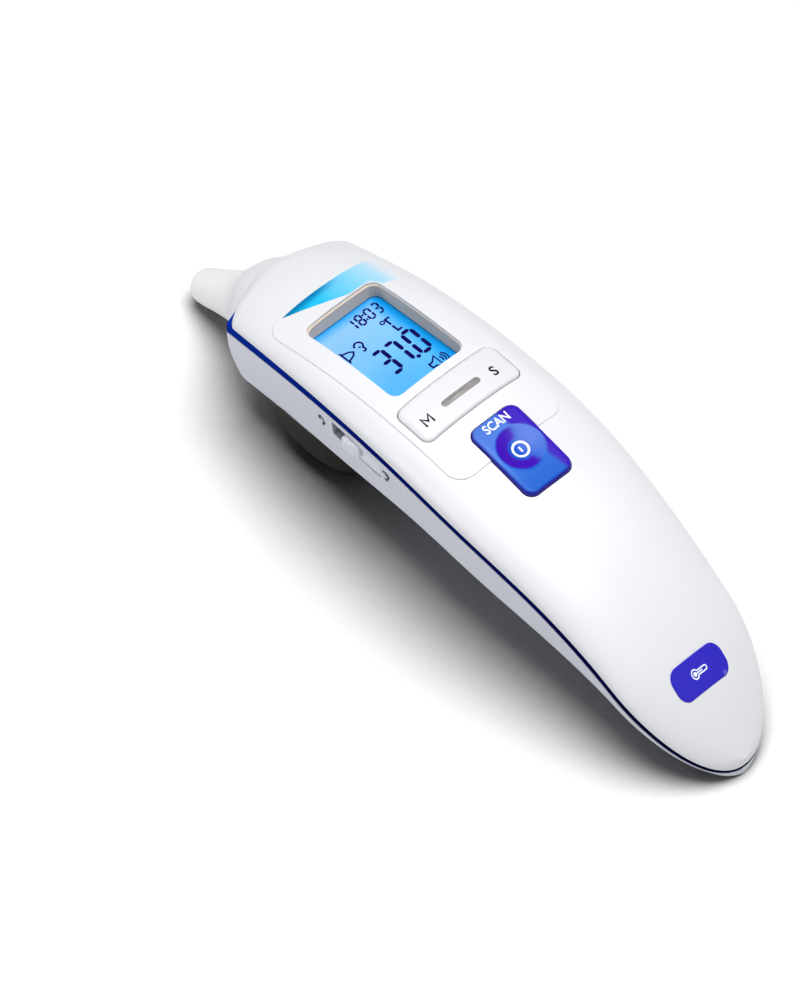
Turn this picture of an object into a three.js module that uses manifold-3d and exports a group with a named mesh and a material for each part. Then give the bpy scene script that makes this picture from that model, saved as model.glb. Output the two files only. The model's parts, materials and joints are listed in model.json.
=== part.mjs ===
// Digital ear thermometer: a curved hand-held instrument with an ear probe at one end,
// a backlit display, a two-way menu rocker, a scan button and a mode switch on its side.
// Millimetres. It lies on a table (z = 0) on its rear pod and its tail.
// x runs from the probe (negative) to the tail, -y is the mode switch side, +z is up.
// Body stations are measured from the head end of the shells, then the whole object is
// moved by -REST_X, so that the origin is the middle of the flat under the pod.
import * as THREE from 'three';
import { mergeVertices } from 'three/addons/utils/BufferGeometryUtils.js';
import Module from 'manifold-3d';

const wasm = await Module();
wasm.setup();

// ---- driving dimensions ----
const REST_X = 21.0;

// Body: parting-line height, crown height, half width, side wall and belly depth by station.
const PARTING_Z = [[0, 28.1], [22.6, 33.8], [49, 36.1], [73.6, 34], [99, 26.7], [120.7, 13.8], [133, 2.9]];
const CROWN = [[0, 5.5], [22.6, 6.4], [49, 7], [73.6, 7], [99, 6.5], [120.7, 5.7], [133, 5.1]];
const HALF_WIDTH = [
  [0, 15.5], [22.6, 17.6], [49, 18.85], [73.6, 19], [94, 17.4], [113, 15.95], [133, 14.4],
];
const WALL_DROP = [
  [0, 13.2], [22.6, 13.4], [41, 13.3], [59, 11.6], [80, 10.7], [99, 8.3], [113, 5.4], [133, 2.9],
];
const BELLY = [[0, 8.5], [22.6, 7], [45, 5.5], [70, 4.4], [99, 3.4], [120, 2.3], [133, 1.8]];
const BAND_HALF = [[0, 1.4], [50, 1], [90, 1], [113, 1.05], [133, 0.6]];
const TAIL_START = 112;
const TAIL_LENGTH = 21.3;
const TAIL_FLATTEN = 0.85;
const HEAD_BULGE = 3.1;
const HEAD_BULGE_REACH = 12;
const HEAD_ROUND = 0.18;
const HEAD_ROUND_REACH = 7;
const CROWN_POWER = 2.3;
const BELLY_POWER = 2.2;
const WALL_DRAFT = 1.2;
const SHELL_WALL = 1.6;
const SHELL_END = TAIL_START + TAIL_LENGTH - 0.25;
const RING_SEGMENTS = 24;
const STATION_COUNT = 22;
const FIRST_COSINE = Math.cos((2 * Math.PI) / RING_SEGMENTS);
const JOINT_GAP = 0.12;

// Probe: a trumpet cone on an axis that points forward and down.
const PROBE_TIP_X = -25;
const PROBE_TIP_Z = 4.4;
const PROBE_PITCH = 32;
const PROBE_OUTER = [
  [0.4, 3.35], [0.9, 3.7], [8.4, 4.7], [13.5, 5.5], [17, 6.4], [20, 7.7],
  [23, 9.1], [26, 10.3], [30, 11], [37, 11.2],
];
const PROBE_INNER = [
  [37, 9.6], [30, 9.4], [26, 8.7], [23, 7.5], [20, 5.9], [17, 4.5], [12.4, 3.2], [12.1, 2.5],
];
const PROBE_SEGMENTS = 28;
const PROBE_BACK_X = 1.7;

// Rear pod: the dark rounded foot under the head.
const POD_X = 20.5;
const POD_Z = 20.3;
const POD_HEAD = 15.2;
const POD_TAIL = 18;
const POD_SIDE = 16;
const POD_DEPTH = 21;
const POD_POWER = 2.6;
const POD_WALL = 1.8;

// Face: inlaid panel, display, rocker, scan button and badge, in plan.
const PANEL = { from: 9.8, to: 66.9, half: 14.3, corner: 4.2, under: -0.4, over: 0.4 };
const DISPLAY = { x: 30.2, y: -0.7, z: 41.2, tilt: 8.7, length: 27.1, width: 18.9, corner: 2.2, depth: 4.1 };
const ROCKER = { x: 51, length: 9.8, half: 12.7, corner: 1.9, over: 0.95, thick: 2 };
const SLOT = { x: 51.6, half: 4.9, width: 1.5 };
const BUTTON = { x: 68.8, z: 41.65, tilt: -8.6, length: 18.4, width: 12.1, corner: 2.2, over: 1.1 };
const BADGE = { x: 119.6, half: 6.5, width: 5.6, over: 0.3 };

// Inside.
const BOARD = { from: 13, to: 81, half: 12.2, top: 30.4, thick: 1.2 };
const CELL = { x: 97, z: 18.9, tilt: -13.5, radius: 10, thick: 3.2 };
const DOOR = { length: 25, half: 11.2, gap: 0.3 };
const SWITCH = { x: 41.4, z: 30.9, length: 15, height: 4.8 };
const SCREWS = [[62, 12], [62, -12], [117, 0]];
const RIB_STATIONS = [30, 76];

const rad = THREE.MathUtils.degToRad;
const white = paint(0xf4f4f6, 0.32);
const paleGrey = paint(0xc9ccd8, 0.4);

// ---- small tools ----
function paint(color, roughness, metalness = 0) {
  return new THREE.MeshStandardMaterial({ color, roughness, metalness });
}

// Natural cubic curve through [station, value] pairs.
function curve(knots) {
  const n = knots.length;
  const x = knots.map((k) => k[0]);
  const y = knots.map((k) => k[1]);
  const bend = new Array(n).fill(0);
  const u = new Array(n).fill(0);
  for (let i = 1; i < n - 1; i += 1) {
    const s = (x[i] - x[i - 1]) / (x[i + 1] - x[i - 1]);
    const p = s * bend[i - 1] + 2;
    const turn = (y[i + 1] - y[i]) / (x[i + 1] - x[i]) - (y[i] - y[i - 1]) / (x[i] - x[i - 1]);
    bend[i] = (s - 1) / p;
    u[i] = ((6 * turn) / (x[i + 1] - x[i - 1]) - s * u[i - 1]) / p;
  }
  for (let i = n - 2; i > 0; i -= 1) bend[i] = bend[i] * bend[i + 1] + u[i];
  return (at) => {
    let i = 0;
    while (i < n - 2 && at > x[i + 1]) i += 1;
    const w = x[i + 1] - x[i];
    const a = (x[i + 1] - at) / w;
    const b = (at - x[i]) / w;
    const cubic = ((a ** 3 - a) * bend[i] + (b ** 3 - b) * bend[i + 1]) * w * w / 6;
    return a * y[i] + b * y[i + 1] + cubic;
  };
}

const partingZ = curve(PARTING_Z);
const crownRaw = curve(CROWN);
const widthRaw = curve(HALF_WIDTH);
const dropRaw = curve(WALL_DROP);
const bellyRaw = curve(BELLY);
const bandHalf = curve(BAND_HALF);

function tailRound(x, reach) {
  const t = Math.max(0, (x - TAIL_START) / TAIL_LENGTH) * reach;
  return Math.sqrt(Math.max(0, 1 - t * t));
}
const halfWidth = (x) => widthRaw(x) * tailRound(x, 1);
function headRound(x) {
  const t = Math.max(0, 1 - Math.max(x, 0) / HEAD_ROUND_REACH);
  return 1 - HEAD_ROUND * t * t;
}
const crown = (x) => crownRaw(x) * tailRound(x, TAIL_FLATTEN) * headRound(x);
const wallDrop = (x) => dropRaw(x) * tailRound(x, TAIL_FLATTEN);
const belly = (x) => bellyRaw(x) * tailRound(x, TAIL_FLATTEN);

function solid(geometry, matrix = null) {
  const bare = geometry.clone();
  bare.deleteAttribute('normal');
  bare.deleteAttribute('uv');
  if (matrix) bare.applyMatrix4(matrix);
  const merged = mergeVertices(bare, 1e-5);
  const vertProperties = new Float32Array(merged.attributes.position.array);
  const triVerts = new Uint32Array(merged.index.array);
  return new wasm.Manifold(new wasm.Mesh({ numProp: 3, vertProperties, triVerts }));
}

function geometryOf(body) {
  const mesh = body.getMesh();
  const geometry = new THREE.BufferGeometry();
  geometry.setAttribute('position', new THREE.BufferAttribute(new Float32Array(mesh.vertProperties), 3));
  geometry.setIndex(new THREE.BufferAttribute(new Uint32Array(mesh.triVerts), 1));
  return geometry;
}

function piece(name, shape, material) {
  const geometry = shape.isBufferGeometry ? shape : geometryOf(shape);
  const mesh = new THREE.Mesh(geometry, material);
  mesh.name = name;
  return mesh;
}

function frameAt(x, z, tilt, y = 0) {
  const turn = new THREE.Matrix4().makeRotationY(-rad(tilt));
  return new THREE.Matrix4().makeTranslation(x, y, z).multiply(turn);
}

function box(sx, sy, sz, x = 0, y = 0, z = 0) {
  return new THREE.BoxGeometry(sx, sy, sz).translate(x, y, z);
}

// Upright cylinder from z = low to z = high.
function rod(radius, low, high, x = 0, y = 0, segments = 20) {
  const body = new THREE.CylinderGeometry(radius, radius, high - low, segments);
  return body.rotateX(Math.PI / 2).translate(x, y, (low + high) / 2);
}

function roundedShape(length, width, corner) {
  const a = length / 2;
  const b = width / 2;
  const shape = new THREE.Shape();
  shape.moveTo(-a + corner, -b);
  shape.lineTo(a - corner, -b);
  shape.absarc(a - corner, -b + corner, corner, -Math.PI / 2, 0);
  shape.lineTo(a, b - corner);
  shape.absarc(a - corner, b - corner, corner, 0, Math.PI / 2);
  shape.lineTo(-a + corner, b);
  shape.absarc(-a + corner, b - corner, corner, Math.PI / 2, Math.PI);
  shape.lineTo(-a, -b + corner);
  shape.absarc(-a + corner, -b + corner, corner, Math.PI, Math.PI * 1.5);
  return shape;
}

// Rounded plate from z = low to z = high, centred on x, y.
function plate(length, width, corner, low, high, x = 0, y = 0) {
  const shape = roundedShape(length, width, corner);
  const options = { depth: high - low, bevelEnabled: false, curveSegments: 2 };
  return new THREE.ExtrudeGeometry(shape, options).translate(x, y, low);
}

// ---- body surfaces ----
// A capped cylinder whose rings become body sections, closer together towards the tail.
// place(x, c, u, centre) gives [y, z] for a ring point with cosine c and sine u.
function station(ring, grow) {
  const share = Math.sin((ring / STATION_COUNT) * Math.PI * 0.5) ** 1.15;
  const low = -grow + 0.01 * ring;
  const high = SHELL_END + grow - 0.02 * (STATION_COUNT - ring);
  if (ring === 0 || ring === STATION_COUNT) return ring ? high : low;
  return THREE.MathUtils.clamp(SHELL_END * share, low, high);
}

function bodySolid(grow, place) {
  const tube = new THREE.CylinderGeometry(1, 1, 1, RING_SEGMENTS, STATION_COUNT);
  tube.deleteAttribute('normal');
  tube.deleteAttribute('uv');
  const points = tube.attributes.position;
  for (let i = 0; i < points.count; i += 1) {
    const x = station(Math.round((points.getY(i) + 0.5) * STATION_COUNT), grow);
    const c = points.getZ(i);
    const u = points.getX(i);
    const [y, z] = place(x, c, u, Math.hypot(c, u) < 0.1);
    const nose = 1 - THREE.MathUtils.smoothstep(x, 0, HEAD_BULGE_REACH);
    const across = Math.min(1, Math.abs(y) / widthRaw(Math.max(x, 0)));
    points.setXYZ(i, x - HEAD_BULGE * nose * (1 - across * across), y, z);
  }
  return solid(tube);
}

const power = (value, n) => Math.sign(value) * Math.abs(value) ** n;

// Everything above the parting band, grown by grow, with its base sunk by sink.
function crownSolid(grow, sink = 0) {
  return bodySolid(grow, (x, c, u, centre) => {
    const low = partingZ(x) + bandHalf(x);
    const high = crown(x) - bandHalf(x) + grow;
    const half = Math.max(0.4, halfWidth(Math.min(x - grow, SHELL_END)) + grow);
    if (centre) return [0, low + high * 0.4];
    const n = 2 / CROWN_POWER;
    if (u >= -1e-6) return [half * power(c, n), low + high * Math.abs(u) ** n];
    return [half * THREE.MathUtils.clamp(c / FIRST_COSINE, -1, 1), low - sink];
  });
}

// Everything below the parting band, grown by grow, with its top raised by rise.
function hullSolid(grow, rise = 0) {
  return bodySolid(grow, (x, c, u, centre) => {
    const at = Math.min(x - grow, SHELL_END);
    const top = partingZ(x) - bandHalf(x) + rise;
    const foot = partingZ(x) - wallDrop(x);
    const half = Math.max(0.4, halfWidth(at) + grow);
    if (centre) return [0, (top + foot) / 2];
    if (u > 1e-6) return [half * c, top];
    const narrow = half - WALL_DRAFT * Math.min(1, half / 8);
    const angle = Math.asin(Math.min(1, -u));
    const turn = rad(30);
    if (angle <= turn + 1e-6) {
      const t = angle / turn;
      return [Math.sign(c) * (half + (narrow - half) * t), top + (foot - top) * t];
    }
    const arc = (angle - turn) / (Math.PI / 2 - turn) * Math.PI / 2;
    const n = 2 / BELLY_POWER;
    const deep = belly(x) + grow;
    return [Math.sign(c) * narrow * Math.cos(arc) ** n, foot - deep * Math.sin(arc) ** n];
  });
}

// A slab of the parting band, grown by grow, half as thick as half(x).
function bandSolid(grow, half) {
  return bodySolid(grow, (x, c, u, centre) => {
    const wide = Math.max(0.4, halfWidth(Math.min(x - grow, SHELL_END)) + grow);
    if (centre) return [0, partingZ(x)];
    const corner = Math.SQRT1_2;
    const y = THREE.MathUtils.clamp(c / corner, -1, 1) * wide;
    return [y, partingZ(x) + THREE.MathUtils.clamp(u / corner, -1, 1) * half(x)];
  });
}

// The layer of the crown surface between two offsets, inside a plan outline.
function crownLayer(outline, under, over) {
  const prism = new THREE.ExtrudeGeometry(outline, { depth: 40, bevelEnabled: false, curveSegments: 2 });
  return crownSolid(over).subtract(crownSolid(under, 2)).intersect(solid(prism.translate(0, 0, 20)));
}

// ---- shared cutting tools ----
const displayFrame = frameAt(DISPLAY.x, DISPLAY.z, DISPLAY.tilt, DISPLAY.y);
const buttonFrame = frameAt(BUTTON.x, BUTTON.z, BUTTON.tilt);
const cellFrame = frameAt(CELL.x, CELL.z, CELL.tilt);

function windowTool(grow) {
  return solid(plate(DISPLAY.length + grow, DISPLAY.width + grow, DISPLAY.corner, -9, 6), displayFrame);
}
function buttonTool(grow) {
  return solid(plate(BUTTON.length + grow, BUTTON.width + grow, BUTTON.corner + 0.2, -6, 6), buttonFrame);
}
function rockerOutline(grow) {
  const shape = roundedShape(ROCKER.length + grow, ROCKER.half * 2 + grow, ROCKER.corner);
  return new THREE.ExtrudeGeometry(shape, { depth: 14, bevelEnabled: false, curveSegments: 2 })
    .translate(ROCKER.x, 0, 34);
}

function probeSpin(profile) {
  const points = profile.map(([s, r]) => new THREE.Vector2(r, s));
  return new THREE.LatheGeometry(points, PROBE_SEGMENTS);
}
// The lathe's axis is y; this lays it along the probe axis, from tip to base.
function probeMatrix() {
  const lay = new THREE.Matrix4().makeRotationZ(-Math.PI / 2);
  return frameAt(PROBE_TIP_X, PROBE_TIP_Z, PROBE_PITCH).multiply(lay);
}
// Everything behind the upright plane where the cone ends, inside the head.
function behind(x) {
  return solid(box(60, 60, 80, x + 30, 0, 20));
}
function probeEnvelope(grow) {
  const profile = PROBE_OUTER.map(([s, r]) => [s, r + grow]);
  const last = profile[profile.length - 1];
  const whole = solid(probeSpin([[0, 0], ...profile, [last[0], 0]]), probeMatrix());
  return whole.subtract(behind(PROBE_BACK_X + grow));
}

function doorBlock(grow) {
  return solid(plate(DOOR.length + grow, DOOR.half * 2 + grow, 1.6, -12, 1), cellFrame);
}
function switchBlock(length, height, low, high) {
  return solid(box(length, high - low, height, SWITCH.x, (low + high) / 2, SWITCH.z));
}

// ---- shells ----
function frontShell() {
  let shell = crownSolid(0).subtract(crownSolid(-SHELL_WALL, 0.5));
  const bosses = SCREWS.map(([x, y]) => solid(rod(2.3, partingZ(x) - 0.5, partingZ(x) + 9, x, y, 16)));
  for (const boss of bosses) shell = shell.add(boss.intersect(crownSolid(-0.8, 2)));
  SCREWS.forEach(([x, y]) => {
    shell = shell.subtract(solid(rod(1.0, partingZ(x) - 2, partingZ(x) + 3.6, x, y, 12)));
  });
  const outline = panelOutline(0.25);
  const pocket = crownLayer(outline, PANEL.under - 0.12, 3);
  return shell.subtract(pocket)
    .subtract(windowTool(2.2))
    .subtract(buttonTool(0.6))
    .subtract(solid(rockerOutline(0.6)))
    .subtract(probeEnvelope(0.3));
}

function panelOutline(grow) {
  const shape = roundedShape(PANEL.to - PANEL.from + grow, PANEL.half * 2 + grow, PANEL.corner);
  const middle = (PANEL.to + PANEL.from) / 2;
  return new THREE.Shape(shape.extractPoints(3).shape.map((p) => new THREE.Vector2(p.x + middle, p.y)));
}

function facePanel() {
  return crownLayer(panelOutline(0), PANEL.under, PANEL.over)
    .subtract(windowTool(0))
    .subtract(buttonTool(0.6))
    .subtract(solid(rockerOutline(0.6)));
}

// Crescent at the head end of the panel: an arched top edge and a lower edge that sweeps
// back towards the +y side.
function accentInlay() {
  const shape = new THREE.Shape();
  shape.moveTo(10.6, -10.2);
  shape.quadraticCurveTo(10.0, 0, 10.9, 11.8);
  shape.quadraticCurveTo(11.4, 13.2, 13.2, 13.6);
  shape.lineTo(20.6, 13.6);
  shape.quadraticCurveTo(16.6, 2, 10.6, -10.2);
  return crownLayer(shape, PANEL.over + 0.06, PANEL.over + 0.24).subtract(windowTool(0.8));
}

function trimBand() {
  const half = (x) => bandHalf(x) - JOINT_GAP;
  return bandSolid(-0.1, half)
    .subtract(bandSolid(-SHELL_WALL, (x) => bandHalf(x) + 1))
    .subtract(probeEnvelope(0.3));
}

function rearShell() {
  let shell = hullSolid(0).subtract(hullSolid(-SHELL_WALL, 0.5));
  SCREWS.forEach(([x, y]) => {
    const post = solid(rod(3.1, partingZ(x) - 24, partingZ(x) - 1.1, x, y, 16));
    shell = shell.add(post.intersect(hullSolid(-0.8)));
  });
  for (const x of RIB_STATIONS) {
    const ribTop = BOARD.top - BOARD.thick - 0.15;
    const rib = solid(box(1.2, 60, ribTop, x, 0, ribTop / 2));
    shell = shell.add(rib.intersect(hullSolid(-0.8)));
  }
  SCREWS.forEach(([x, y]) => {
    shell = shell.subtract(solid(rod(1.3, partingZ(x) - 30, partingZ(x) + 2, x, y, 12)));
    shell = shell.subtract(solid(rod(2.2, partingZ(x) - 30, partingZ(x) - 3.9, x, y, 12)));
  });
  return shell.subtract(probeEnvelope(0.3))
    .subtract(doorBlock(DOOR.gap * 2))
    .subtract(switchBlock(SWITCH.length, SWITCH.height, -24, -12));
}

function batteryDoor() {
  const skin = hullSolid(0).subtract(hullSolid(-SHELL_WALL, 0.5)).intersect(doorBlock(0));
  const ridges = [-9, -7.4, -5.8].map((x) => solid(box(0.8, 9, 1, x, 0, -8.3), cellFrame));
  const outer = hullSolid(0.35);
  return ridges.reduce((door, ridge) => door.add(ridge.intersect(outer)), skin);
}

function podSolid(inset) {
  const ball = new THREE.SphereGeometry(1, 28, 14);
  const points = ball.attributes.position;
  for (let i = 0; i < points.count; i += 1) {
    const p = new THREE.Vector3().fromBufferAttribute(points, i);
    const n = POD_POWER;
    const size = (Math.abs(p.x) ** n + Math.abs(p.y) ** n + Math.abs(p.z) ** n) ** (-1 / n);
    const long = (p.x < 0 ? POD_HEAD : POD_TAIL) - inset;
    points.setXYZ(i, p.x * size * long + POD_X, p.z * size * (POD_SIDE - inset),
      -p.y * size * (POD_DEPTH - inset) + POD_Z);
  }
  return solid(ball);
}

function rearPod() {
  const above = solid(box(80, 60, 40, POD_X, 0, POD_Z + 20.5));
  return podSolid(0)
    .subtract(podSolid(POD_WALL))
    .subtract(hullSolid(0.3))
    .subtract(above)
    .subtract(solid(box(60, 60, 10, POD_X, 0, -5)));
}

// ---- controls ----
function menuRocker() {
  const cap = crownSolid(ROCKER.over).subtract(crownSolid(ROCKER.over - ROCKER.thick, 2));
  const slot = solid(plate(SLOT.width + 0.4, SLOT.half * 2 + 0.4, 0.9, 30, 50, SLOT.x));
  let body = cap.intersect(solid(rockerOutline(0))).subtract(slot);
  for (const side of [-1, 1]) {
    body = body.add(solid(rod(1.1, 34.05, 42, ROCKER.x, side * 8.6, 12)));
  }
  return body;
}

function rockerInsert() {
  const strip = solid(plate(SLOT.width, SLOT.half * 2, 0.74, 30, 50, SLOT.x));
  return crownSolid(ROCKER.over - 0.3).subtract(crownSolid(ROCKER.over - 1.5, 2)).intersect(strip);
}

function scanButton() {
  const cap = solid(plate(BUTTON.length, BUTTON.width, BUTTON.corner, -1.6, BUTTON.over));
  const skirt = solid(plate(BUTTON.length + 1.8, BUTTON.width + 1.2, 1.4, -3.6, -2.9));
  const neck = solid(plate(BUTTON.length - 0.8, BUTTON.width - 0.8, BUTTON.corner, -3.2, -1.2));
  const post = solid(rod(1.6, -6.6, -3, 0, 0, 16));
  const dish = solid(new THREE.SphereGeometry(16, 28, 40).translate(0, 0, BUTTON.over + 15.1));
  return cap.add(skirt).add(neck).add(post).subtract(dish);
}

function switchKnob() {
  const shutter = solid(box(10.6, 0.8, 4.2, 1.6, -17.5, 0));
  const grip = solid(box(5.6, 2.6, 3.9, -0.8, -18.4, 0));
  const stem = solid(box(2, 4.6, 1.1, 0, -15, 1.2));
  const grooves = [-2.6, -1.4, -0.2, 1.0].map((x) => solid(box(0.5, 1.2, 6, x, -19.8, 0)));
  return grooves.reduce((body, groove) => body.subtract(groove), shutter.add(grip).add(stem));
}

// A cup over the coin cell, with a wing to each side wall of the rear shell.
function cellHolder() {
  const wing = solid(box(9, 40, 1.2, 0, 0, CELL.thick + 1), cellFrame);
  const cup = solid(rod(11.3, -0.2, CELL.thick + 1.6, 0, 0, 24), cellFrame);
  const hollow = solid(rod(10.5, -1, CELL.thick + 0.7, 0, 0, 24), cellFrame);
  const opening = solid(box(5, 24, 3.4, 0, 0, 1.2), cellFrame);
  return cup.add(wing.intersect(hullSolid(-SHELL_WALL - 0.3))).subtract(hollow).subtract(opening);
}

function probeCone() {
  const profile = [[0, 2.5], [0, 2.6], ...PROBE_OUTER, ...PROBE_INNER, [0, 2.5]];
  return solid(probeSpin(profile), probeMatrix()).subtract(behind(PROBE_BACK_X));
}

// ---- assembly ----
const thermometer = new THREE.Group();
const body = new THREE.Group();
body.position.x = -REST_X;
thermometer.add(body);

body.add(piece('front_shell', frontShell(), white));
body.add(piece('rear_shell', rearShell(), paleGrey));
body.add(piece('trim_band', trimBand(), paint(0x0a2378, 0.25)));
body.add(piece('face_panel', facePanel(), paint(0xf7f7f9, 0.2)));
body.add(piece('accent_inlay', accentInlay(), paint(0x35b9ea, 0.2)));
body.add(piece('probe_cone', probeCone(), white));
body.add(piece('rear_pod', rearPod(), paint(0x2a2a27, 0.6)));
body.add(piece('battery_door', batteryDoor(), paleGrey));
body.add(piece('menu_rocker', menuRocker(), white));
body.add(piece('rocker_insert', rockerInsert(), paint(0xa9adb2, 0.35, 0.8)));

const badgeShape = roundedShape(BADGE.width, BADGE.half * 2, 2.2);
const badgeOutline = new THREE.Shape(
  badgeShape.extractPoints(3).shape.map((p) => new THREE.Vector2(p.x + BADGE.x, p.y)),
);
body.add(piece('tail_badge', crownLayer(badgeOutline, 0.08, BADGE.over), paint(0x2f2bb4, 0.25)));

function tiltedGroup(x, z, tilt, y = 0) {
  const group = new THREE.Group();
  group.position.set(x, y, z);
  group.rotation.y = -rad(tilt);
  body.add(group);
  return group;
}

// Display stack, below the window.
const display = tiltedGroup(DISPLAY.x, DISPLAY.z, DISPLAY.tilt, DISPLAY.y);
const bezelOuter = solid(plate(DISPLAY.length + 1.5, DISPLAY.width + 1.5, 2.6, -DISPLAY.depth, -1.9));
const bezelFoot = solid(plate(DISPLAY.length + 3.4, DISPLAY.width + 3.4, 1.5, -DISPLAY.depth, -3.3));
const bezelHole = solid(plate(DISPLAY.length - 0.4, DISPLAY.width - 0.4, 2, -8, 4));
display.add(piece('display_bezel', bezelOuter.add(bezelFoot).subtract(bezelHole), paint(0xb9b4a8, 0.5)));
display.add(piece('lcd_glass', plate(30, 21.8, 0.5, -5.5, -4.4), paint(0x5ab9ff, 0.1)));
display.add(piece('backlight_guide', plate(29.4, 21.2, 0.6, -7.3, -5.8), paint(0xdfeeff, 0.3)));
display.add(piece('lcd_connector', box(1.6, 18, 1.5, 13.2, 0, -8.35), paint(0x8a8f96, 0.7)));

// Scan button.
const scan = tiltedGroup(BUTTON.x, BUTTON.z, BUTTON.tilt);
scan.add(piece('scan_button', scanButton(), paint(0x3c6edc, 0.18)));

// Main board and what it carries.
const boardMiddle = (BOARD.from + BOARD.to) / 2;
const boardLength = BOARD.to - BOARD.from;
const boardPlate = plate(boardLength, BOARD.half * 2, 2, BOARD.top - BOARD.thick, BOARD.top, boardMiddle);
const boardNotches = SCREWS.slice(0, 2).map(([x, y]) => solid(rod(3.6, 20, 40, x, y, 16)));
const board = boardNotches.reduce((part, notch) => part.subtract(notch), solid(boardPlate));
body.add(piece('main_board', board, paint(0x1d6b3c, 0.5)));
const tactBlack = paint(0x303236, 0.5);
const tactZ = BOARD.top + 1.65;
body.add(piece('scan_tact_switch', box(6, 6, 3.7, BUTTON.x - 0.9, 0, BOARD.top + 1.95), tactBlack));
body.add(piece('memory_tact_switch', box(4.5, 4.5, 3.1, ROCKER.x, -8.6, tactZ), tactBlack));
body.add(piece('set_tact_switch', box(4.5, 4.5, 3.1, ROCKER.x, 8.6, tactZ), tactBlack));
const chipZ = BOARD.top - BOARD.thick - 0.7;
body.add(piece('controller_chip', box(9, 9, 1, 38, 0, chipZ), paint(0x1b1c1f, 0.5)));
body.add(piece('sensor_amplifier', box(4.4, 4, 1, 22, 3, chipZ), paint(0x1b1c1f, 0.5)));
const buzzerTop = BOARD.top - BOARD.thick - 0.15;
body.add(piece('buzzer', rod(5, buzzerTop - 2.6, buzzerTop, 68, 0, 24), paint(0x25262a, 0.5)));

// Mode switch on the -y side.
const switchBase = new THREE.Group();
switchBase.position.set(SWITCH.x, 0, SWITCH.z);
body.add(switchBase);
switchBase.add(piece('mode_switch_knob', switchKnob(), white));
const carrier = solid(box(12, 4.2, 3.2, -1.3, -11.7, 1.25));
const leverSlot = solid(box(8.2, 2.2, 2.0, -1.7, -13.5, 1.2));
switchBase.add(piece('mode_switch_body', carrier.subtract(leverSlot), paint(0x2c2d31, 0.4)));

// Power: a coin cell under a lift-off door.
const power3v = tiltedGroup(CELL.x, CELL.z, CELL.tilt);
power3v.add(piece('coin_cell', rod(CELL.radius, 0, CELL.thick, 0, 0, 28), paint(0xc8cacc, 0.3, 0.9)));
body.add(piece('cell_holder', cellHolder(), paint(0x2c2d31, 0.5)));
power3v.add(piece('contact_plus', box(12, 3, 0.3, 0, 0, CELL.thick + 0.35), paint(0xd8c27a, 0.3, 0.9)));
const minusClip = box(3, 0.3, 2.4, 0, 10.45, 1.3);
power3v.add(piece('contact_minus', minusClip, paint(0xd8c27a, 0.3, 0.9)));

// Probe group: the lathe axis y becomes the probe axis, from the tip (y = 0) to the base.
const probe = new THREE.Group();
probe.position.set(PROBE_TIP_X, 0, PROBE_TIP_Z);
probe.rotation.set(0, -rad(PROBE_PITCH), -Math.PI / 2, 'YZX');
body.add(probe);
const windowDisc = [[0, 0], [0, 2.3], [0.5, 2.3], [0.5, 0]];
probe.add(piece('sensor_window', probeSpin(windowDisc), paint(0x3a3d44, 0.15)));
const sleeve = [[0.8, 1.8], [0.8, 2.3], [11.6, 2.3], [11.6, 1.8], [0.8, 1.8]];
probe.add(piece('sensor_sleeve', probeSpin(sleeve), paint(0xd0b060, 0.25, 0.9)));
const can = [[12.6, 0], [12.6, 2.4], [15.2, 2.4], [15.2, 2.8], [15.7, 2.8], [15.7, 0]];
probe.add(piece('thermopile_can', probeSpin(can), paint(0xb8babd, 0.3, 0.9)));

// Sensor lead from the thermopile to the board.
const leadPath = new THREE.CatmullRomCurve3([
  new THREE.Vector3(-11.0, 0, 13.1), new THREE.Vector3(-4.5, 0, 17.2),
  new THREE.Vector3(3, 0, 23), new THREE.Vector3(12, 0, 26.4), new THREE.Vector3(17, 0, 26.6),
]);
const leadShape = roundedShape(1.0, 4.2, 0.3);
const lead = new THREE.ExtrudeGeometry(leadShape, { steps: 8, extrudePath: leadPath, curveSegments: 1 });
body.add(piece('sensor_lead', lead, paint(0xc87a2c, 0.5)));

// Battery lead from the cell holder to the board.
const wirePath = new THREE.CatmullRomCurve3([
  new THREE.Vector3(84.5, 3, 24.6), new THREE.Vector3(82, 3, 26.2), new THREE.Vector3(79, 3, 27.9),
]);
const wireShape = new THREE.Shape().absarc(0, 0, 0.6, 0, Math.PI * 2);
const wire = new THREE.ExtrudeGeometry(wireShape, { steps: 8, extrudePath: wirePath, curveSegments: 2 });
body.add(piece('battery_lead', wire, paint(0xb02020, 0.5)));

// Case screws, heads down in the rear shell's posts.
SCREWS.forEach(([x, y], i) => {
  const top = partingZ(x) + 3.2;
  const seat = partingZ(x) - 4.0;
  const shank = solid(rod(0.85, seat - 1, top, x, y, 12));
  const head = solid(rod(1.9, seat - 1.4, seat, x, y, 16));
  const cross = solid(box(2.4, 0.6, 1.4, x, y, seat - 1.4));
  const second = solid(box(0.6, 2.4, 1.4, x, y, seat - 1.4));
  const screw = shank.add(head).subtract(cross).subtract(second);
  body.add(piece(`case_screw_${i + 1}`, screw, paint(0x9a9ca0, 0.35, 0.9)));
});

export default thermometer;
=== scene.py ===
import json
import math

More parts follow.
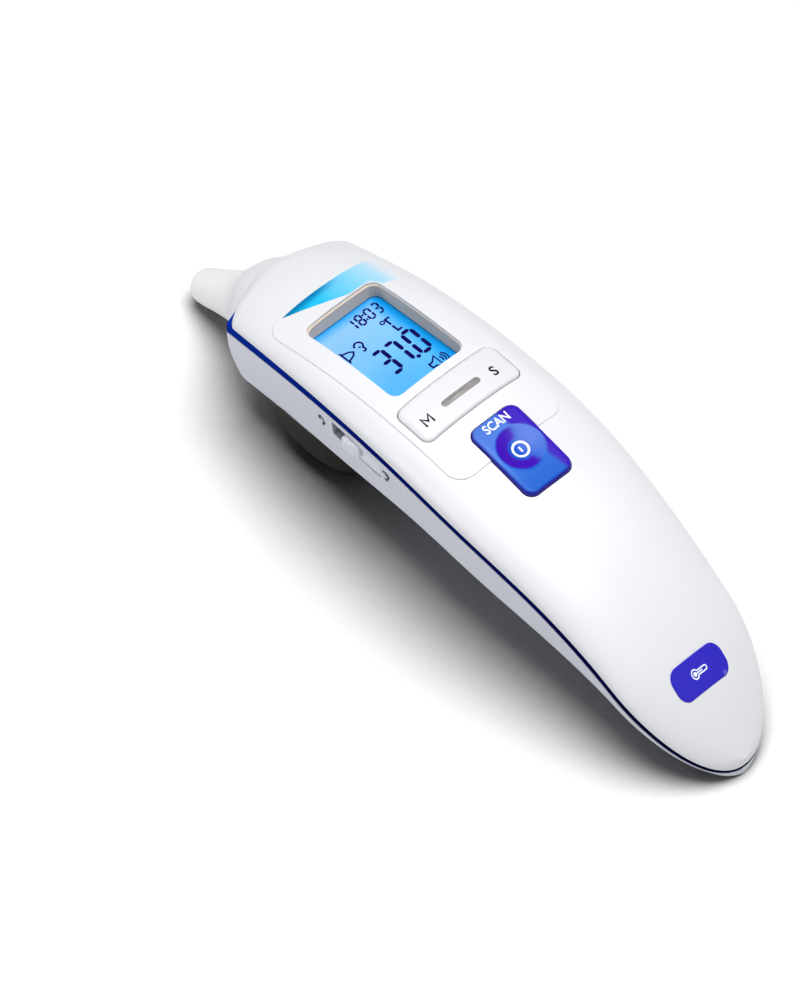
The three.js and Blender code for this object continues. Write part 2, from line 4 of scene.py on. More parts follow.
import bmesh
import bpy
import numpy as np
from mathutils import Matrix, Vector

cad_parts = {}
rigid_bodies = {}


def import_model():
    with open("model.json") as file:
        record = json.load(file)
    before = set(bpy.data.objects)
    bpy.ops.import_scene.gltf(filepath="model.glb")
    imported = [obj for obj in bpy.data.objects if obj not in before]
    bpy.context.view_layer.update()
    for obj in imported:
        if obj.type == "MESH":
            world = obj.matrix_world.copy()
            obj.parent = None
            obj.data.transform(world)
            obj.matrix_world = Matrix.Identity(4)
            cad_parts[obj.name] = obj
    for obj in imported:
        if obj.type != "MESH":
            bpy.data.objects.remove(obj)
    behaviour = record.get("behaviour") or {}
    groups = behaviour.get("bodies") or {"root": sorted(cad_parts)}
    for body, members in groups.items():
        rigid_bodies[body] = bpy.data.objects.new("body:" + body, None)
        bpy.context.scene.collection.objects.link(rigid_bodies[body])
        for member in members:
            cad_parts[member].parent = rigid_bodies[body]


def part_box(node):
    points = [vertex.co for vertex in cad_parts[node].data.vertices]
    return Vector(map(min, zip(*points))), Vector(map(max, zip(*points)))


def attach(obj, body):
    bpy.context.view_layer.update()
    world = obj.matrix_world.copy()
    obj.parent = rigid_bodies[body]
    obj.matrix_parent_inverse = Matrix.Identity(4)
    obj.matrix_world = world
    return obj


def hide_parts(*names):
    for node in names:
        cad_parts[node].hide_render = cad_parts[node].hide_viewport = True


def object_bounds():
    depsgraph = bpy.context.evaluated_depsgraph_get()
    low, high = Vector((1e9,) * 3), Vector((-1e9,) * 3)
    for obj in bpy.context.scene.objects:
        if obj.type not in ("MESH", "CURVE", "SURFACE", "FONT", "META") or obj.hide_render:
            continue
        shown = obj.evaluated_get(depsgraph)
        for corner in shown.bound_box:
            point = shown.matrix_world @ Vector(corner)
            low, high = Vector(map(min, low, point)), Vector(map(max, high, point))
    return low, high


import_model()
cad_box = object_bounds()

import openvdb
from mathutils import Matrix, Vector
from mathutils.geometry import delaunay_2d_cdt

# The thermometer is built in millimetres in body stations (x from the head end of the shells),
# then every mesh is moved to the row frame in metres.
MM = 0.001

# ---- body surfaces, the same curves as the CAD part ----
PARTING_Z = [[0, 28.1], [22.6, 33.8], [49, 36.1], [73.6, 34], [99, 26.7], [120.7, 13.8], [133, 2.9]]
CROWN = [[0, 5.5], [22.6, 6.4], [49, 7], [73.6, 7], [99, 6.5], [120.7, 5.7], [133, 5.1]]
HALF_WIDTH = [[0, 15.5], [22.6, 17.6], [49, 18.85], [73.6, 19], [94, 17.4], [113, 15.95], [133, 14.4]]
WALL_DROP = [[0, 13.2], [22.6, 13.4], [41, 13.3], [59, 11.6], [80, 10.7], [99, 8.3], [113, 5.4], [133, 2.9]]
BELLY = [[0, 8.5], [22.6, 7], [45, 5.5], [70, 4.4], [99, 3.4], [120, 2.3], [133, 1.8]]
BAND_HALF = [[0, 1.4], [50, 1], [90, 1], [113, 1.05], [133, 0.6]]
TAIL_START, TAIL_LENGTH, TAIL_FLATTEN = 112.0, 21.3, 0.85
CAD_END = TAIL_START + TAIL_LENGTH - 0.25
SHELL_END = TAIL_START + TAIL_LENGTH - 0.03
HEAD_BULGE, HEAD_BULGE_REACH = 3.1, 12.0
HEAD_ROUND, HEAD_ROUND_REACH = 0.18, 7.0
CROWN_POWER, BELLY_POWER, WALL_DRAFT = 2.3, 2.2, 1.2
SHELL_WALL = 1.6

PROBE_TIP = (-25.0, 4.4)
PROBE_PITCH = math.radians(32)
PROBE_OUTER = [(0.4, 3.35), (0.9, 3.7), (8.4, 4.7), (13.5, 5.5), (17, 6.4), (20, 7.7), (23, 9.1), (26, 10.3),
               (30, 11), (37, 11.2)]
PROBE_INNER = [(37, 9.6), (30, 9.4), (26, 8.7), (23, 7.5), (20, 5.9), (17, 4.5), (12.4, 3.2), (12.1, 2.5)]

REST_X = CAD_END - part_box("rear_shell")[1].x / MM


def natural_spline(knots):
    xs, ys = np.array(knots, float).T
    n = len(xs)
    bend, u = np.zeros(n), np.zeros(n)
    for i in range(1, n - 1):
        s = (xs[i] - xs[i - 1]) / (xs[i + 1] - xs[i - 1])
        p = s * bend[i - 1] + 2
        turn = (ys[i + 1] - ys[i]) / (xs[i + 1] - xs[i]) - (ys[i] - ys[i - 1]) / (xs[i] - xs[i - 1])
        bend[i] = (s - 1) / p
        u[i] = (6 * turn / (xs[i + 1] - xs[i - 1]) - s * u[i - 1]) / p
    for i in range(n - 2, 0, -1):
        bend[i] = bend[i] * bend[i + 1] + u[i]

    def at(x):
        x = np.asarray(x, float)
        i = np.clip(np.searchsorted(xs, x) - 1, 0, n - 2)
        w = xs[i + 1] - xs[i]
        a, b = (xs[i + 1] - x) / w, (x - xs[i]) / w
        cubic = ((a ** 3 - a) * bend[i] + (b ** 3 - b) * bend[i + 1]) * w * w / 6
        return a * ys[i] + b * ys[i + 1] + cubic
    return at


parting_z, crown_raw, width_raw = natural_spline(PARTING_Z), natural_spline(CROWN), natural_spline(HALF_WIDTH)
drop_raw, belly_raw, band_half = natural_spline(WALL_DROP), natural_spline(BELLY), natural_spline(BAND_HALF)


def tail_round(x, reach):
    t = np.clip((x - TAIL_START) / TAIL_LENGTH, 0, 1) * reach
    return np.sqrt(np.maximum(0, 1 - t * t))


def half_width(x):
    return width_raw(x) * tail_round(x, 1)


def crown(x):
    t = np.maximum(0, 1 - np.maximum(x, 0) / HEAD_ROUND_REACH)
    return crown_raw(x) * tail_round(x, TAIL_FLATTEN) * (1 - HEAD_ROUND * t * t)


def smoothstep(x, lo, hi):
    t = np.clip((np.asarray(x, float) - lo) / (hi - lo), 0, 1)
    return t * t * (3 - 2 * t)


def bulge(x, y):
    """How far a body point moves towards the probe at the rounded head end."""
    across = np.minimum(1, np.abs(y) / width_raw(np.maximum(x, 0)))
    return HEAD_BULGE * (1 - smoothstep(x, 0, HEAD_BULGE_REACH)) * (1 - across * across)


def station_of(x, y):
    """The body station whose section passes through plan point x, y."""
    s = np.array(x, float)
    for _ in range(12):
        s = x + bulge(s, y)
    return s


def crown_z(x, y, lift=0.0):
    """Height of the crown surface over plan point x, y, raised by lift."""
    s = station_of(x, y)
    half = half_width(np.minimum(s - lift, SHELL_END)) + lift
    low, high = parting_z(s) + band_half(s), crown(s) - band_half(s) + lift
    share = np.clip(1 - np.abs(y / half) ** CROWN_POWER, 0, 1)
    return low + high * share ** (1 / CROWN_POWER)


# ---- meshes ----
def mesh_from(points, faces):
    mesh = bpy.data.meshes.new("tmp")
    mesh.from_pydata([tuple(p) for p in points], [], [tuple(f) for f in faces])
    mesh.update()
    bm = bmesh.new()
    bm.from_mesh(mesh)
    bmesh.ops.remove_doubles(bm, verts=bm.verts, dist=1e-4)
    bmesh.ops.recalc_face_normals(bm, faces=bm.faces)
    bm.to_mesh(mesh)
    bm.free()
    return mesh


def tube(rings):
    """A closed solid from a list of equal closed rings, with a fan at each end."""
    count, size = len(rings), len(rings[0])
    points = [p for ring in rings for p in ring]
    points += [tuple(np.mean(rings[0], 0)), tuple(np.mean(rings[-1], 0))]
    faces = []
    for i in range(count - 1):
        for j in range(size):
            k = (j + 1) % size
            faces.append((i * size + j, i * size + k, (i + 1) * size + k, (i + 1) * size + j))
    for j in range(size):
        k = (j + 1) % size
        faces.append((count * size, k, j))
        faces.append((count * size + 1, (count - 1) * size + j, (count - 1) * size + k))
    return mesh_from(points, faces)


def holder(mesh):
    obj = bpy.data.objects.new("tmp", mesh)
    bpy.context.scene.collection.objects.link(obj)
    return obj


def combine(base, others, operation):
    """Boolean of a mesh in millimetres with a list of meshes."""
    obj = holder(base)
    for other in others:
        tool = holder(other)
        step = obj.modifiers.new("step", "BOOLEAN")
        step.solver, step.operation, step.object = "MANIFOLD", operation, tool
        result = bpy.data.meshes.new_from_object(obj.evaluated_get(bpy.context.evaluated_depsgraph_get()))
        obj.modifiers.clear()
        obj.data = result
        bpy.data.objects.remove(tool)
    mesh = obj.data
    bpy.data.objects.remove(obj)
    return mesh


def cut(base, *others):
    return combine(base, others, "DIFFERENCE")


def join(base, *others):
    return combine(base, others, "UNION")


def common(base, *others):
    return combine(base, others, "INTERSECT")


def block(x0, x1, y0, y1, z0, z1):
    p = [(x, y, z) for x in (x0, x1) for y in (y0, y1) for z in (z0, z1)]
    return mesh_from(p, [(0, 1, 3, 2), (4, 6, 7, 5), (0, 4, 5, 1), (2, 3, 7, 6), (0, 2, 6, 4), (1, 5, 7, 3)])


def moved(mesh, matrix):
    mesh = mesh.copy()
    mesh.transform(matrix)
    return mesh


def frame_at(x, z, tilt, y=0.0):
    return Matrix.Translation((x, y, z)) @ Matrix.Rotation(-math.radians(tilt), 4, "Y")


def rounded(length, width, corner, x=0.0, y=0.0, steps=8):
    """Rounded rectangle outline as a function of how far it is grown."""
    def outline(grow=0.0):
        a, b, r = length / 2 + grow, width / 2 + grow, max(corner + grow, 0.03)
        r = min(r, a, b)
        points = []
        for cx, cy, start in ((a - r, -b + r, -90), (a - r, b - r, 0),
                              (-a + r, b - r, 90), (-a + r, -b + r, 180)):
            for k in range(steps + 1):
                t = math.radians(start + 90 * k / steps)
                points.append((x + cx + r * math.cos(t), y + cy + r * math.sin(t)))
        return np.array(points)
    return outline


def densify(loop, step):
    out = []
    for p, q in zip(loop, np.roll(loop, -1, 0)):
        n = max(1, int(np.ceil(np.hypot(*(q - p)) / step)))
        out += [p + (q - p) * k / n for k in range(n)]
    return np.array(out)


def inside(points, loop):
    x, y = points[:, 0][:, None], points[:, 1][:, None]
    x0, y0 = loop[:, 0][None], loop[:, 1][None]
    x1, y1 = np.roll(loop, -1, 0).T
    crossing = (y0 > y) != (y1[None] > y)
    with np.errstate(divide="ignore", invalid="ignore"):
        at = x0 + (y - y0) / (y1[None] - y0) * (x1[None] - x0)
    return (np.sum(crossing & (x < at), 1) % 2) == 1


def slab(outer, holes, top, bottom, edge=0.0, hole_edge=0.0, step=0.8):
    """A closed plate between two height functions, inside an outline and outside its holes.
    edge and hole_edge are the radii of the rounded rims of its top face."""
    loops, drops = [], []

    def rim(outline, sign, radius):
        turns = [0.0] if radius <= 0 else [k / 4 for k in range(5)]
        for t in turns:
            a = t * math.pi / 2
            inset = radius * (1 - math.cos(a))
            drop = radius * (1 - math.sin(a))
            loop = densify(outline(-sign * inset), step)
            loops.append(loop)
            drops.append(np.full(len(loop), drop))

    rim(outer, 1, edge)
    outer_loop = loops[0]
    inner_loop = loops[-1]
    hole_loops, hole_tops = [], []
    for hole in holes:
        first = len(loops)
        rim(hole, -1, hole_edge)
        hole_loops.append(loops[first])
        hole_tops.append(loops[-1])
    lo, hi = outer_loop.min(0), outer_loop.max(0)
    gx, gy = np.meshgrid(np.arange(lo[0] + step / 2, hi[0], step), np.arange(lo[1] + step / 2, hi[1], step))
    grid = np.stack([gx.ravel(), gy.ravel()], 1)
    keep = inside(grid, inner_loop)
    for loop in hole_tops:
        keep &= ~inside(grid, loop)
    grid = grid[keep]
    rims = np.concatenate(loops)
    far = np.ones(len(grid), bool)
    for i in range(0, len(grid), 2000):
        offset = grid[i:i + 2000, None] - rims[None]
        far[i:i + 2000] = np.hypot(offset[..., 0], offset[..., 1]).min(1) > step * 0.45
    grid = grid[far]
    plan = np.concatenate([rims, grid])
    drop = np.concatenate(drops + [np.zeros(len(grid))])
    edges, start = [], 0
    for loop in loops:
        n = len(loop)
        edges += [(start + k, start + (k + 1) % n) for k in range(n)]
        start += n
    out = delaunay_2d_cdt([Vector(p) for p in plan], edges, [], 0, 1e-5, True)
    pts = np.array([tuple(v) for v in out[0]])
    drop = np.array([drop[ids[0]] if ids else 0.0 for ids in out[3]])
    tris = np.array([f for f in out[2]])
    centre = pts[tris].mean(1)
    keep = inside(centre, outer_loop)
    for loop in hole_loops:
        keep &= ~inside(centre, loop)
    tris = tris[keep]
    n = len(pts)
    upper = np.column_stack([pts, top(pts[:, 0], pts[:, 1]) - drop])
    lower = np.column_stack([pts, bottom(pts[:, 0], pts[:, 1]) * np.ones(n)])
    faces = [tuple(t) for t in tris] + [(t[2] + n, t[1] + n, t[0] + n) for t in tris]
    count = {}
    for t in tris:
        for e in ((t[0], t[1]), (t[1], t[2]), (t[2], t[0])):
            count[e] = 1
    for a, b in list(count):
        if (b, a) not in count:
            faces.append((b, a, a + n, b + n))
    used = np.unique(np.array(tris))
    back = -np.ones(2 * n, int)
    keep_all = np.concatenate([used, used + n])
    back[keep_all] = np.arange(len(keep_all))
    points = np.concatenate([upper, lower])[keep_all]
    return mesh_from(points, [tuple(back[list(f)]) for f in faces])


def level(z):
    return lambda x, y: np.full(np.shape(x), float(z))


def draped(lift):
    return lambda x, y: crown_z(x, y, lift)


# ---- fields: exact surfaces that give smooth shading after a cut ----
def section_field(p):
    """Zero on the crown surface above the parting band, in about millimetres."""
    x, y, z = p.T
    s = station_of(x, y)
    half = np.maximum(0.2, half_width(np.clip(s, 0, SHELL_END)))
    low, high = parting_z(s) + band_half(s), crown(s) - band_half(s)
    share = np.abs(y / half) ** CROWN_POWER
    share = share + np.maximum(z - low, 0) ** CROWN_POWER / high ** CROWN_POWER
    rho = np.maximum(share, 1e-9) ** (1 / CROWN_POWER)
    return (rho - 1) * np.minimum(half, high) * 1.2


def probe_coords(p):
    c, s = math.cos(PROBE_PITCH), math.sin(PROBE_PITCH)
    dx, dz = p[:, 0] - PROBE_TIP[0], p[:, 2] - PROBE_TIP[1]
    along, up = dx * c + dz * s, -dx * s + dz * c
    return along, np.hypot(up, p[:, 1])


def monotone(knots):
    """Smooth curve through knots without overshoot."""
    xs, ys = np.array(knots, float).T
    h = np.diff(xs)
    slope = np.diff(ys) / h
    m = np.zeros(len(xs))
    m[0], m[-1] = slope[0], slope[-1]
    for i in range(1, len(xs) - 1):
        if slope[i - 1] * slope[i] > 0:
            m[i] = 2 / (1 / slope[i - 1] + 1 / slope[i])

    def at(x):
        x = np.clip(x, xs[0], xs[-1])
        i = np.clip(np.searchsorted(xs, x) - 1, 0, len(xs) - 2)
        t = (x - xs[i]) / h[i]
        return ((2 * t ** 3 - 3 * t ** 2 + 1) * ys[i] + (t ** 3 - 2 * t ** 2 + t) * h[i] * m[i]
                + (-2 * t ** 3 + 3 * t ** 2) * ys[i + 1] + (t ** 3 - t ** 2) * h[i] * m[i + 1])
    return at


# Inside the head the flare closes into a dome, so that it only blends with the head end.
FLARE = PROBE_OUTER[:-1] + [(33.5, 10.9), (37, 9.4), (41, 6), (44, 2)]
probe_radius = monotone(FLARE)
NOSE_BLEND = 3.4
NOSE_END = 9.0
HEAD_SKIRT = 1.0


def smooth_max(a, b, k):
    h = np.maximum(k - np.abs(a - b), 0) / k
    return np.maximum(a, b) + h * h * k / 4


def nose_field(p):
    """The probe flare flowing into the head end of the crown."""
    along, radius = probe_coords(p)
    flare = np.maximum((radius - probe_radius(along)) * 0.9, along - FLARE[-1][0])
    x, y, z = p.T
    s = station_of(x, y)
    # in front of the head end the section stays that of the first station
    front = HEAD_BULGE * (1 - np.minimum(1, np.abs(y) / width_raw(0)) ** 2)
    end = -(x + front)
    q = np.column_stack([np.where(end > 0, -front, x), y, z])
    head = smooth_max(section_field(q), end, 2.4)
    low = parting_z(np.maximum(s, 0)) + band_half(np.maximum(s, 0))
    head = np.maximum(head, low - HEAD_SKIRT - z)
    return -smooth_max(-head, -flare, NOSE_BLEND)


def gradient(field, p):
    e = 2e-3
    g = np.stack([field(p + d) - field(p - d) for d in np.eye(3) * e], 1)
    return g / np.maximum(np.linalg.norm(g, axis=1, keepdims=True), 1e-12)


# ---- body solids ----
def stations(start, end):
    """Stations closer together at the tail."""
    xs = list(np.linspace(start, TAIL_START, 110))
    t = np.linspace(0, math.pi / 2, 70)[1:]
    return xs + list(TAIL_START + (end - TAIL_START) * np.sin(t))


def crown_ring(x, grow=0.0, sink=0.0, count=120):
    half = max(0.3, float(half_width(min(max(x - grow, 0), SHELL_END)) + grow))
    low = float(parting_z(x) + band_half(x))
    high = float(crown(x) - band_half(x) + grow)
    n = 2 / CROWN_POWER
    t = np.linspace(0, math.pi, count)
    c, u = np.cos(t), np.sin(t)
    y = half * np.sign(c) * np.abs(c) ** n
    z = low + high * np.abs(u) ** n
    base = np.linspace(-half, half, 14)
    ys = np.concatenate([y, base])
    zs = np.concatenate([z, np.full(14, low - max(sink, 1e-3))])
    xs = x - bulge(x, ys)
    return np.column_stack([xs, ys, zs])


def crown_solid(grow=0.0, sink=0.0, start=None):
    first = (-grow if grow < 0 else 0.0) if start is None else start
    end = SHELL_END + grow - 0.01
    return tube([crown_ring(x, grow, sink) for x in stations(first, end)])


def hull_ring(x, grow=0.0, rise=0.0, count=90):
    at = min(max(x - grow, 0), SHELL_END)
    xs = max(x, 0)
    top = float(parting_z(xs) - band_half(xs)) + rise
    drop = float(drop_raw(xs) * tail_round(xs, TAIL_FLATTEN))
    deep = float(belly_raw(xs) * tail_round(xs, TAIL_FLATTEN)) + grow
    foot = float(parting_z(xs)) - drop
    half = max(0.3, float(half_width(at) + grow))
    narrow = half - WALL_DRAFT * min(1, half / 8)
    wall = np.linspace(0, 1, 10)[:-1]
    arc = np.linspace(0, math.pi / 2, count // 2)
    n = 2 / BELLY_POWER
    y = np.concatenate([half + (narrow - half) * wall, narrow * np.cos(arc) ** n])
    z = np.concatenate([top + (foot - top) * wall, foot - deep * np.sin(arc) ** n])
    ys = np.concatenate([y, -y[::-1][1:], np.linspace(-half, half, 12)[1:-1]])
    zs = np.concatenate([z, z[::-1][1:], np.full(10, top)])
    return np.column_stack([np.full(len(ys), float(x)), ys, zs])


def hull_solid(grow=0.0, rise=0.0, start=-5.0):
    end = SHELL_END + grow - 0.01
    return tube([hull_ring(x, grow, rise) for x in stations(start, end)])


def band_solid(grow, spread, start=-5.0):
    rings = []
    for x in stations(start, SHELL_END + grow - 0.01):
        xs = max(x, 0)
        half = max(0.3, float(half_width(min(max(x - grow, 0), SHELL_END)) + grow))
        thick = float(spread(xs))
        mid = float(parting_z(xs))
        ys = np.concatenate([np.full(3, half), np.linspace(half, -half, 9)[1:-1], np.full(3, -half),
                             np.linspace(-half, half, 9)[1:-1]])
        zs = np.concatenate([[mid - thick, mid, mid + thick], np.full(7, mid + thick),
                             [mid + thick, mid, mid - thick], np.full(7, mid - thick)])
        rings.append(np.column_stack([np.full(len(ys), float(x)), ys, zs]))
    return tube(rings)


# The head end below the crown: a bulged face that curves back under the head.
HEAD_CURL, HEAD_CURL_START = 13.0, 5.0


def head_face(y, z, gap=0.0):
    depth = np.clip((float(parting_z(0)) - z - HEAD_CURL_START) / HEAD_CURL, 0, 0.999)
    back = HEAD_CURL * (1 - np.sqrt(1 - depth ** 2))
    across = np.minimum(1, np.abs(y) / width_raw(0))
    return -HEAD_BULGE * (1 - across * across) + back - gap


def head_cutter(gap=0.0):
    """Everything in front of the head face. Built with x as its height, then turned upright."""
    plate = slab(rounded(60, 50, 0.5, x=22, y=0, steps=2), [], lambda z, y: head_face(y, z, gap),
                 level(-20), step=1.0)
    swap = Matrix(((0, 0, 1, 0), (0, 1, 0, 0), (1, 0, 0, 0), (0, 0, 0, 1)))
    mesh = moved(plate, swap)
    mesh.flip_normals()
    return mesh


def lathe(profile, segments=96):
    """A solid of revolution about the probe axis from (distance from the tip, radius) pairs."""
    t = np.linspace(0, 2 * math.pi, segments, endpoint=False)
    rings = [[(s, r * math.cos(a), r * math.sin(a)) for a in t] for s, r in profile]
    matrix = frame_at(PROBE_TIP[0], PROBE_TIP[1], math.degrees(PROBE_PITCH))
    return moved(tube(rings), matrix)


PROBE_SPLIT = 21.5
NOSE_LOW, NOSE_HIGH = np.array([-15.0, -18.0, 2.0]), np.array([10.0, 18.0, 42.0])


def nose_solid(step=0.25):
    """The flare and the head end as one smooth volume, from its field sampled on a grid."""
    count = ((NOSE_HIGH - NOSE_LOW) / step).astype(int) + 1
    axes = [lo + step * np.arange(n) for lo, n in zip(NOSE_LOW, count)]
    values = np.empty(tuple(count), np.float32)
    for i, x in enumerate(axes[0]):
        y, z = np.meshgrid(axes[1], axes[2], indexing="ij")
        p = np.column_stack([np.full(y.size, x), y.ravel(), z.ravel()])
        along, _ = probe_coords(p)
        f = np.maximum.reduce([nose_field(p), p[:, 0] - NOSE_END, PROBE_SPLIT - 2 - along])
        values[i] = f.reshape(y.shape)
    grid = openvdb.FloatGrid(5.0)
    grid.copyFromArray(values)
    points, quads = grid.convertToQuads(0.0)
    return mesh_from(np.array(points) * step + NOSE_LOW, [tuple(q) for q in quads])


def hull_field(p):
    """Zero on the surface of the lower shell, in about millimetres."""
    x, y, z = p.T
    x = np.clip(x, 0, SHELL_END)
    drop = drop_raw(x) * tail_round(x, TAIL_FLATTEN)
    deep = belly_raw(x) * tail_round(x, TAIL_FLATTEN)
    foot = parting_z(x) - drop
    top = parting_z(x) - band_half(x)
    half = np.maximum(0.3, half_width(x))
    narrow = half - WALL_DRAFT * np.minimum(1, half / 8)
    wall = np.abs(y) - (half + (narrow - half) * np.clip((top - z) / (top - foot), 0, 1))
    share = (np.abs(y) / narrow) ** BELLY_POWER + (np.maximum(foot - z, 0) / deep) ** BELLY_POWER
    rho = share ** (1 / BELLY_POWER)
    return np.where(z > foot, wall, (rho - 1) * np.minimum(narrow, deep))


# ---- placed controls, with the same sizes as in the CAD part ----
PANEL = dict(start=9.8, end=66.9, half=14.3, corner=4.2, under=-0.4, over=0.4)
DISPLAY = dict(x=30.2, y=-0.7, z=41.2, tilt=8.7, length=27.1, width=18.9, corner=2.2, depth=4.1)
ROCKER = dict(x=51.0, length=9.8, half=12.7, corner=1.9, over=0.95, thick=2.0)
SLOT = dict(x=51.6, half=4.9, width=1.5)
BUTTON = dict(x=68.8, z=41.65, tilt=-8.6, length=18.4, width=12.1, corner=2.2, over=1.1)
DISH_X, DISH_RADIUS, DISH_DEPTH = -0.2, 5.1, 0.85
BADGE = dict(x=119.6, half=6.5, width=5.6, over=0.3)
SWITCH = dict(x=41.4, z=30.9, length=15.0, height=4.8)
DOOR = dict(x=97.0, z=18.9, tilt=-13.5, length=25.0, half=11.2)
SCREWS = [(62, 12), (62, -12), (117, 0)]
POD = dict(x=20.5, z=20.3, head=15.2, tail=18.0, side=16.0, depth=21.0, power=2.6, wall=1.8)

display_frame = frame_at(DISPLAY["x"], DISPLAY["z"], DISPLAY["tilt"], DISPLAY["y"])
button_frame = frame_at(BUTTON["x"], BUTTON["z"], BUTTON["tilt"])
door_frame = frame_at(DOOR["x"], DOOR["z"], DOOR["tilt"])
# wall frame: first axis towards the tail, second up, third outwards on the switch side
wall_frame = Matrix(((1, 0, 0, SWITCH["x"]), (0, 0, -1, 0), (0, 1, 0, SWITCH["z"]), (0, 0, 0, 1)))

panel_middle = (PANEL["start"] + PANEL["end"]) / 2
panel_outline = rounded(PANEL["end"] - PANEL["start"], PANEL["half"] * 2, PANEL["corner"], panel_middle)
window_plan = rounded(DISPLAY["length"], DISPLAY["width"], DISPLAY["corner"], DISPLAY["x"], DISPLAY["y"])
window_local = rounded(DISPLAY["length"], DISPLAY["width"], DISPLAY["corner"])
rocker_outline = rounded(ROCKER["length"], ROCKER["half"] * 2, ROCKER["corner"], ROCKER["x"])
slot_outline = rounded(SLOT["width"], SLOT["half"] * 2, SLOT["width"] / 2, SLOT["x"])
button_outline = rounded(BUTTON["length"], BUTTON["width"], BUTTON["corner"])


def prism(outline, grow, low, high, matrix=None):
    mesh = slab(lambda g: outline(grow), [], level(high), level(low), step=4.0)
    return moved(mesh, matrix) if matrix else mesh


def local_surface(x0, z0, tilt, lift, y0=0.0):
    """Height above a tilted frame of the crown surface raised by lift."""
    c, s = math.cos(math.radians(tilt)), math.sin(math.radians(tilt))

    def top(x, y):
        z = np.zeros(np.shape(x))
        for _ in range(6):
            z = (crown_z(x0 + x * c - z * s, y + y0, lift) - z0 - x * s) / c
        return z
    return top


def rod(x, y, low, high, radius):
    t = np.linspace(0, 2 * math.pi, 40, endpoint=False)
    return tube([[(x + radius * math.cos(a), y + radius * math.sin(a), z) for a in t] for z in (low, high)])


# ---- pieces ----
def piece(name, mesh, body, material, replaces=(), fields=(), angle=32):
    """Moves a mesh to the row frame, shades it, and makes it ride on its CAD body."""
    mesh.transform(Matrix.Scale(MM, 4) @ Matrix.Translation((-REST_X, 0, 0)))
    shade(mesh, fields, angle)
    mesh.materials.clear()
    mesh.materials.append(material)
    mesh.name = name
    obj = bpy.data.objects.new(name, mesh)
    bpy.context.scene.collection.objects.link(obj)
    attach(obj, body)
    if replaces:
        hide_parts(*replaces)


def shade(mesh, fields, angle):
    """Smooth shading, with exact normals where the mesh lies on one of the fields."""
    mesh.polygons.foreach_set("use_smooth", [True] * len(mesh.polygons))
    mesh.set_sharp_from_angle(angle=math.radians(angle))
    if not fields:
        return
    co = np.zeros(len(mesh.vertices) * 3, np.float32)
    mesh.vertices.foreach_get("co", co)
    co = co.reshape(-1, 3).astype(float) / MM + [REST_X, 0, 0]
    vertex = np.zeros(len(mesh.loops), np.int32)
    mesh.loops.foreach_get("vertex_index", vertex)
    totals = np.zeros(len(mesh.polygons), np.int32)
    mesh.polygons.foreach_get("loop_total", totals)
    flat = np.zeros(len(mesh.polygons) * 3, np.float32)
    mesh.polygons.foreach_get("normal", flat)
    face = np.repeat(flat.reshape(-1, 3), totals, 0)
    corner = np.zeros(len(mesh.loops) * 3, np.float32)
    mesh.corner_normals.foreach_get("vector", corner)
    corner = corner.reshape(-1, 3).astype(float)
    for field in fields:
        near = np.abs(field(co)) < 0.03
        g = gradient(field, co)
        take = near[vertex] & (np.sum(g[vertex] * face, 1) > 0.8)
        corner[take] = g[vertex][take]
    mesh.normals_split_custom_set([tuple(n) for n in corner])


# ---- materials ----
def graph(name):
    material = bpy.data.materials.new(name)
    material.use_nodes = True
    tree = material.node_tree
    tree.nodes.clear()
    out = tree.nodes.new("ShaderNodeOutputMaterial")
    bsdf = tree.nodes.new("ShaderNodeBsdfPrincipled")
    tree.links.new(bsdf.outputs[0], out.inputs[0])
    return material, tree, bsdf


def node(tree, kind, inputs=None, **settings):
    made = tree.nodes.new("ShaderNode" + kind)
    for key, value in settings.items():
        setattr(made, key, value)
    for key, value in (inputs or {}).items():
        if isinstance(value, bpy.types.NodeSocket):
            tree.links.new(value, made.inputs[key])
        else:
            made.inputs[key].default_value = value
    return made


def rgb(r, g, b):
    """Linear colour of an sRGB triple out of 255."""
    def linear(v):
        v /= 255
        return v / 12.92 if v <= 0.04045 else ((v + 0.055) / 1.055) ** 2.4
    return (linear(r), linear(g), linear(b), 1.0)


def set_input(tree, bsdf, name, value):
    if isinstance(value, bpy.types.NodeSocket):
        tree.links.new(value, bsdf.inputs[name])
    else:
        bsdf.inputs[name].default_value = value


def ramp(tree, factor, stops):
    made = node(tree, "ValToRGB", {"Fac": factor})
    while len(made.color_ramp.elements) < len(stops):
        made.color_ramp.elements.new(0.5)
    for element, (position, color) in zip(made.color_ramp.elements, stops):
        element.position = position
        element.color = color
    return made.outputs["Color"]


def place(tree):
    return node(tree, "TexCoord").outputs["Object"]


def axis_value(tree, axis, low, high):
    """0 to 1 along a row-frame axis between two values in metres."""
    parts = node(tree, "SeparateXYZ", {0: place(tree)})
    return node(tree, "MapRange", {"Value": parts.outputs[axis], "From Min": low,
                                   "From Max": high}).outputs[0]


def mixed(tree, factor, a, b, blend="MIX"):
    made = node(tree, "Mix", data_type="RGBA", blend_type=blend)
    for socket, value in ((made.inputs[0], factor), (made.inputs[6], a), (made.inputs[7], b)):
        if isinstance(value, bpy.types.NodeSocket):
            tree.links.new(value, socket)
        else:
            socket.default_value = value
    return made.outputs[2]


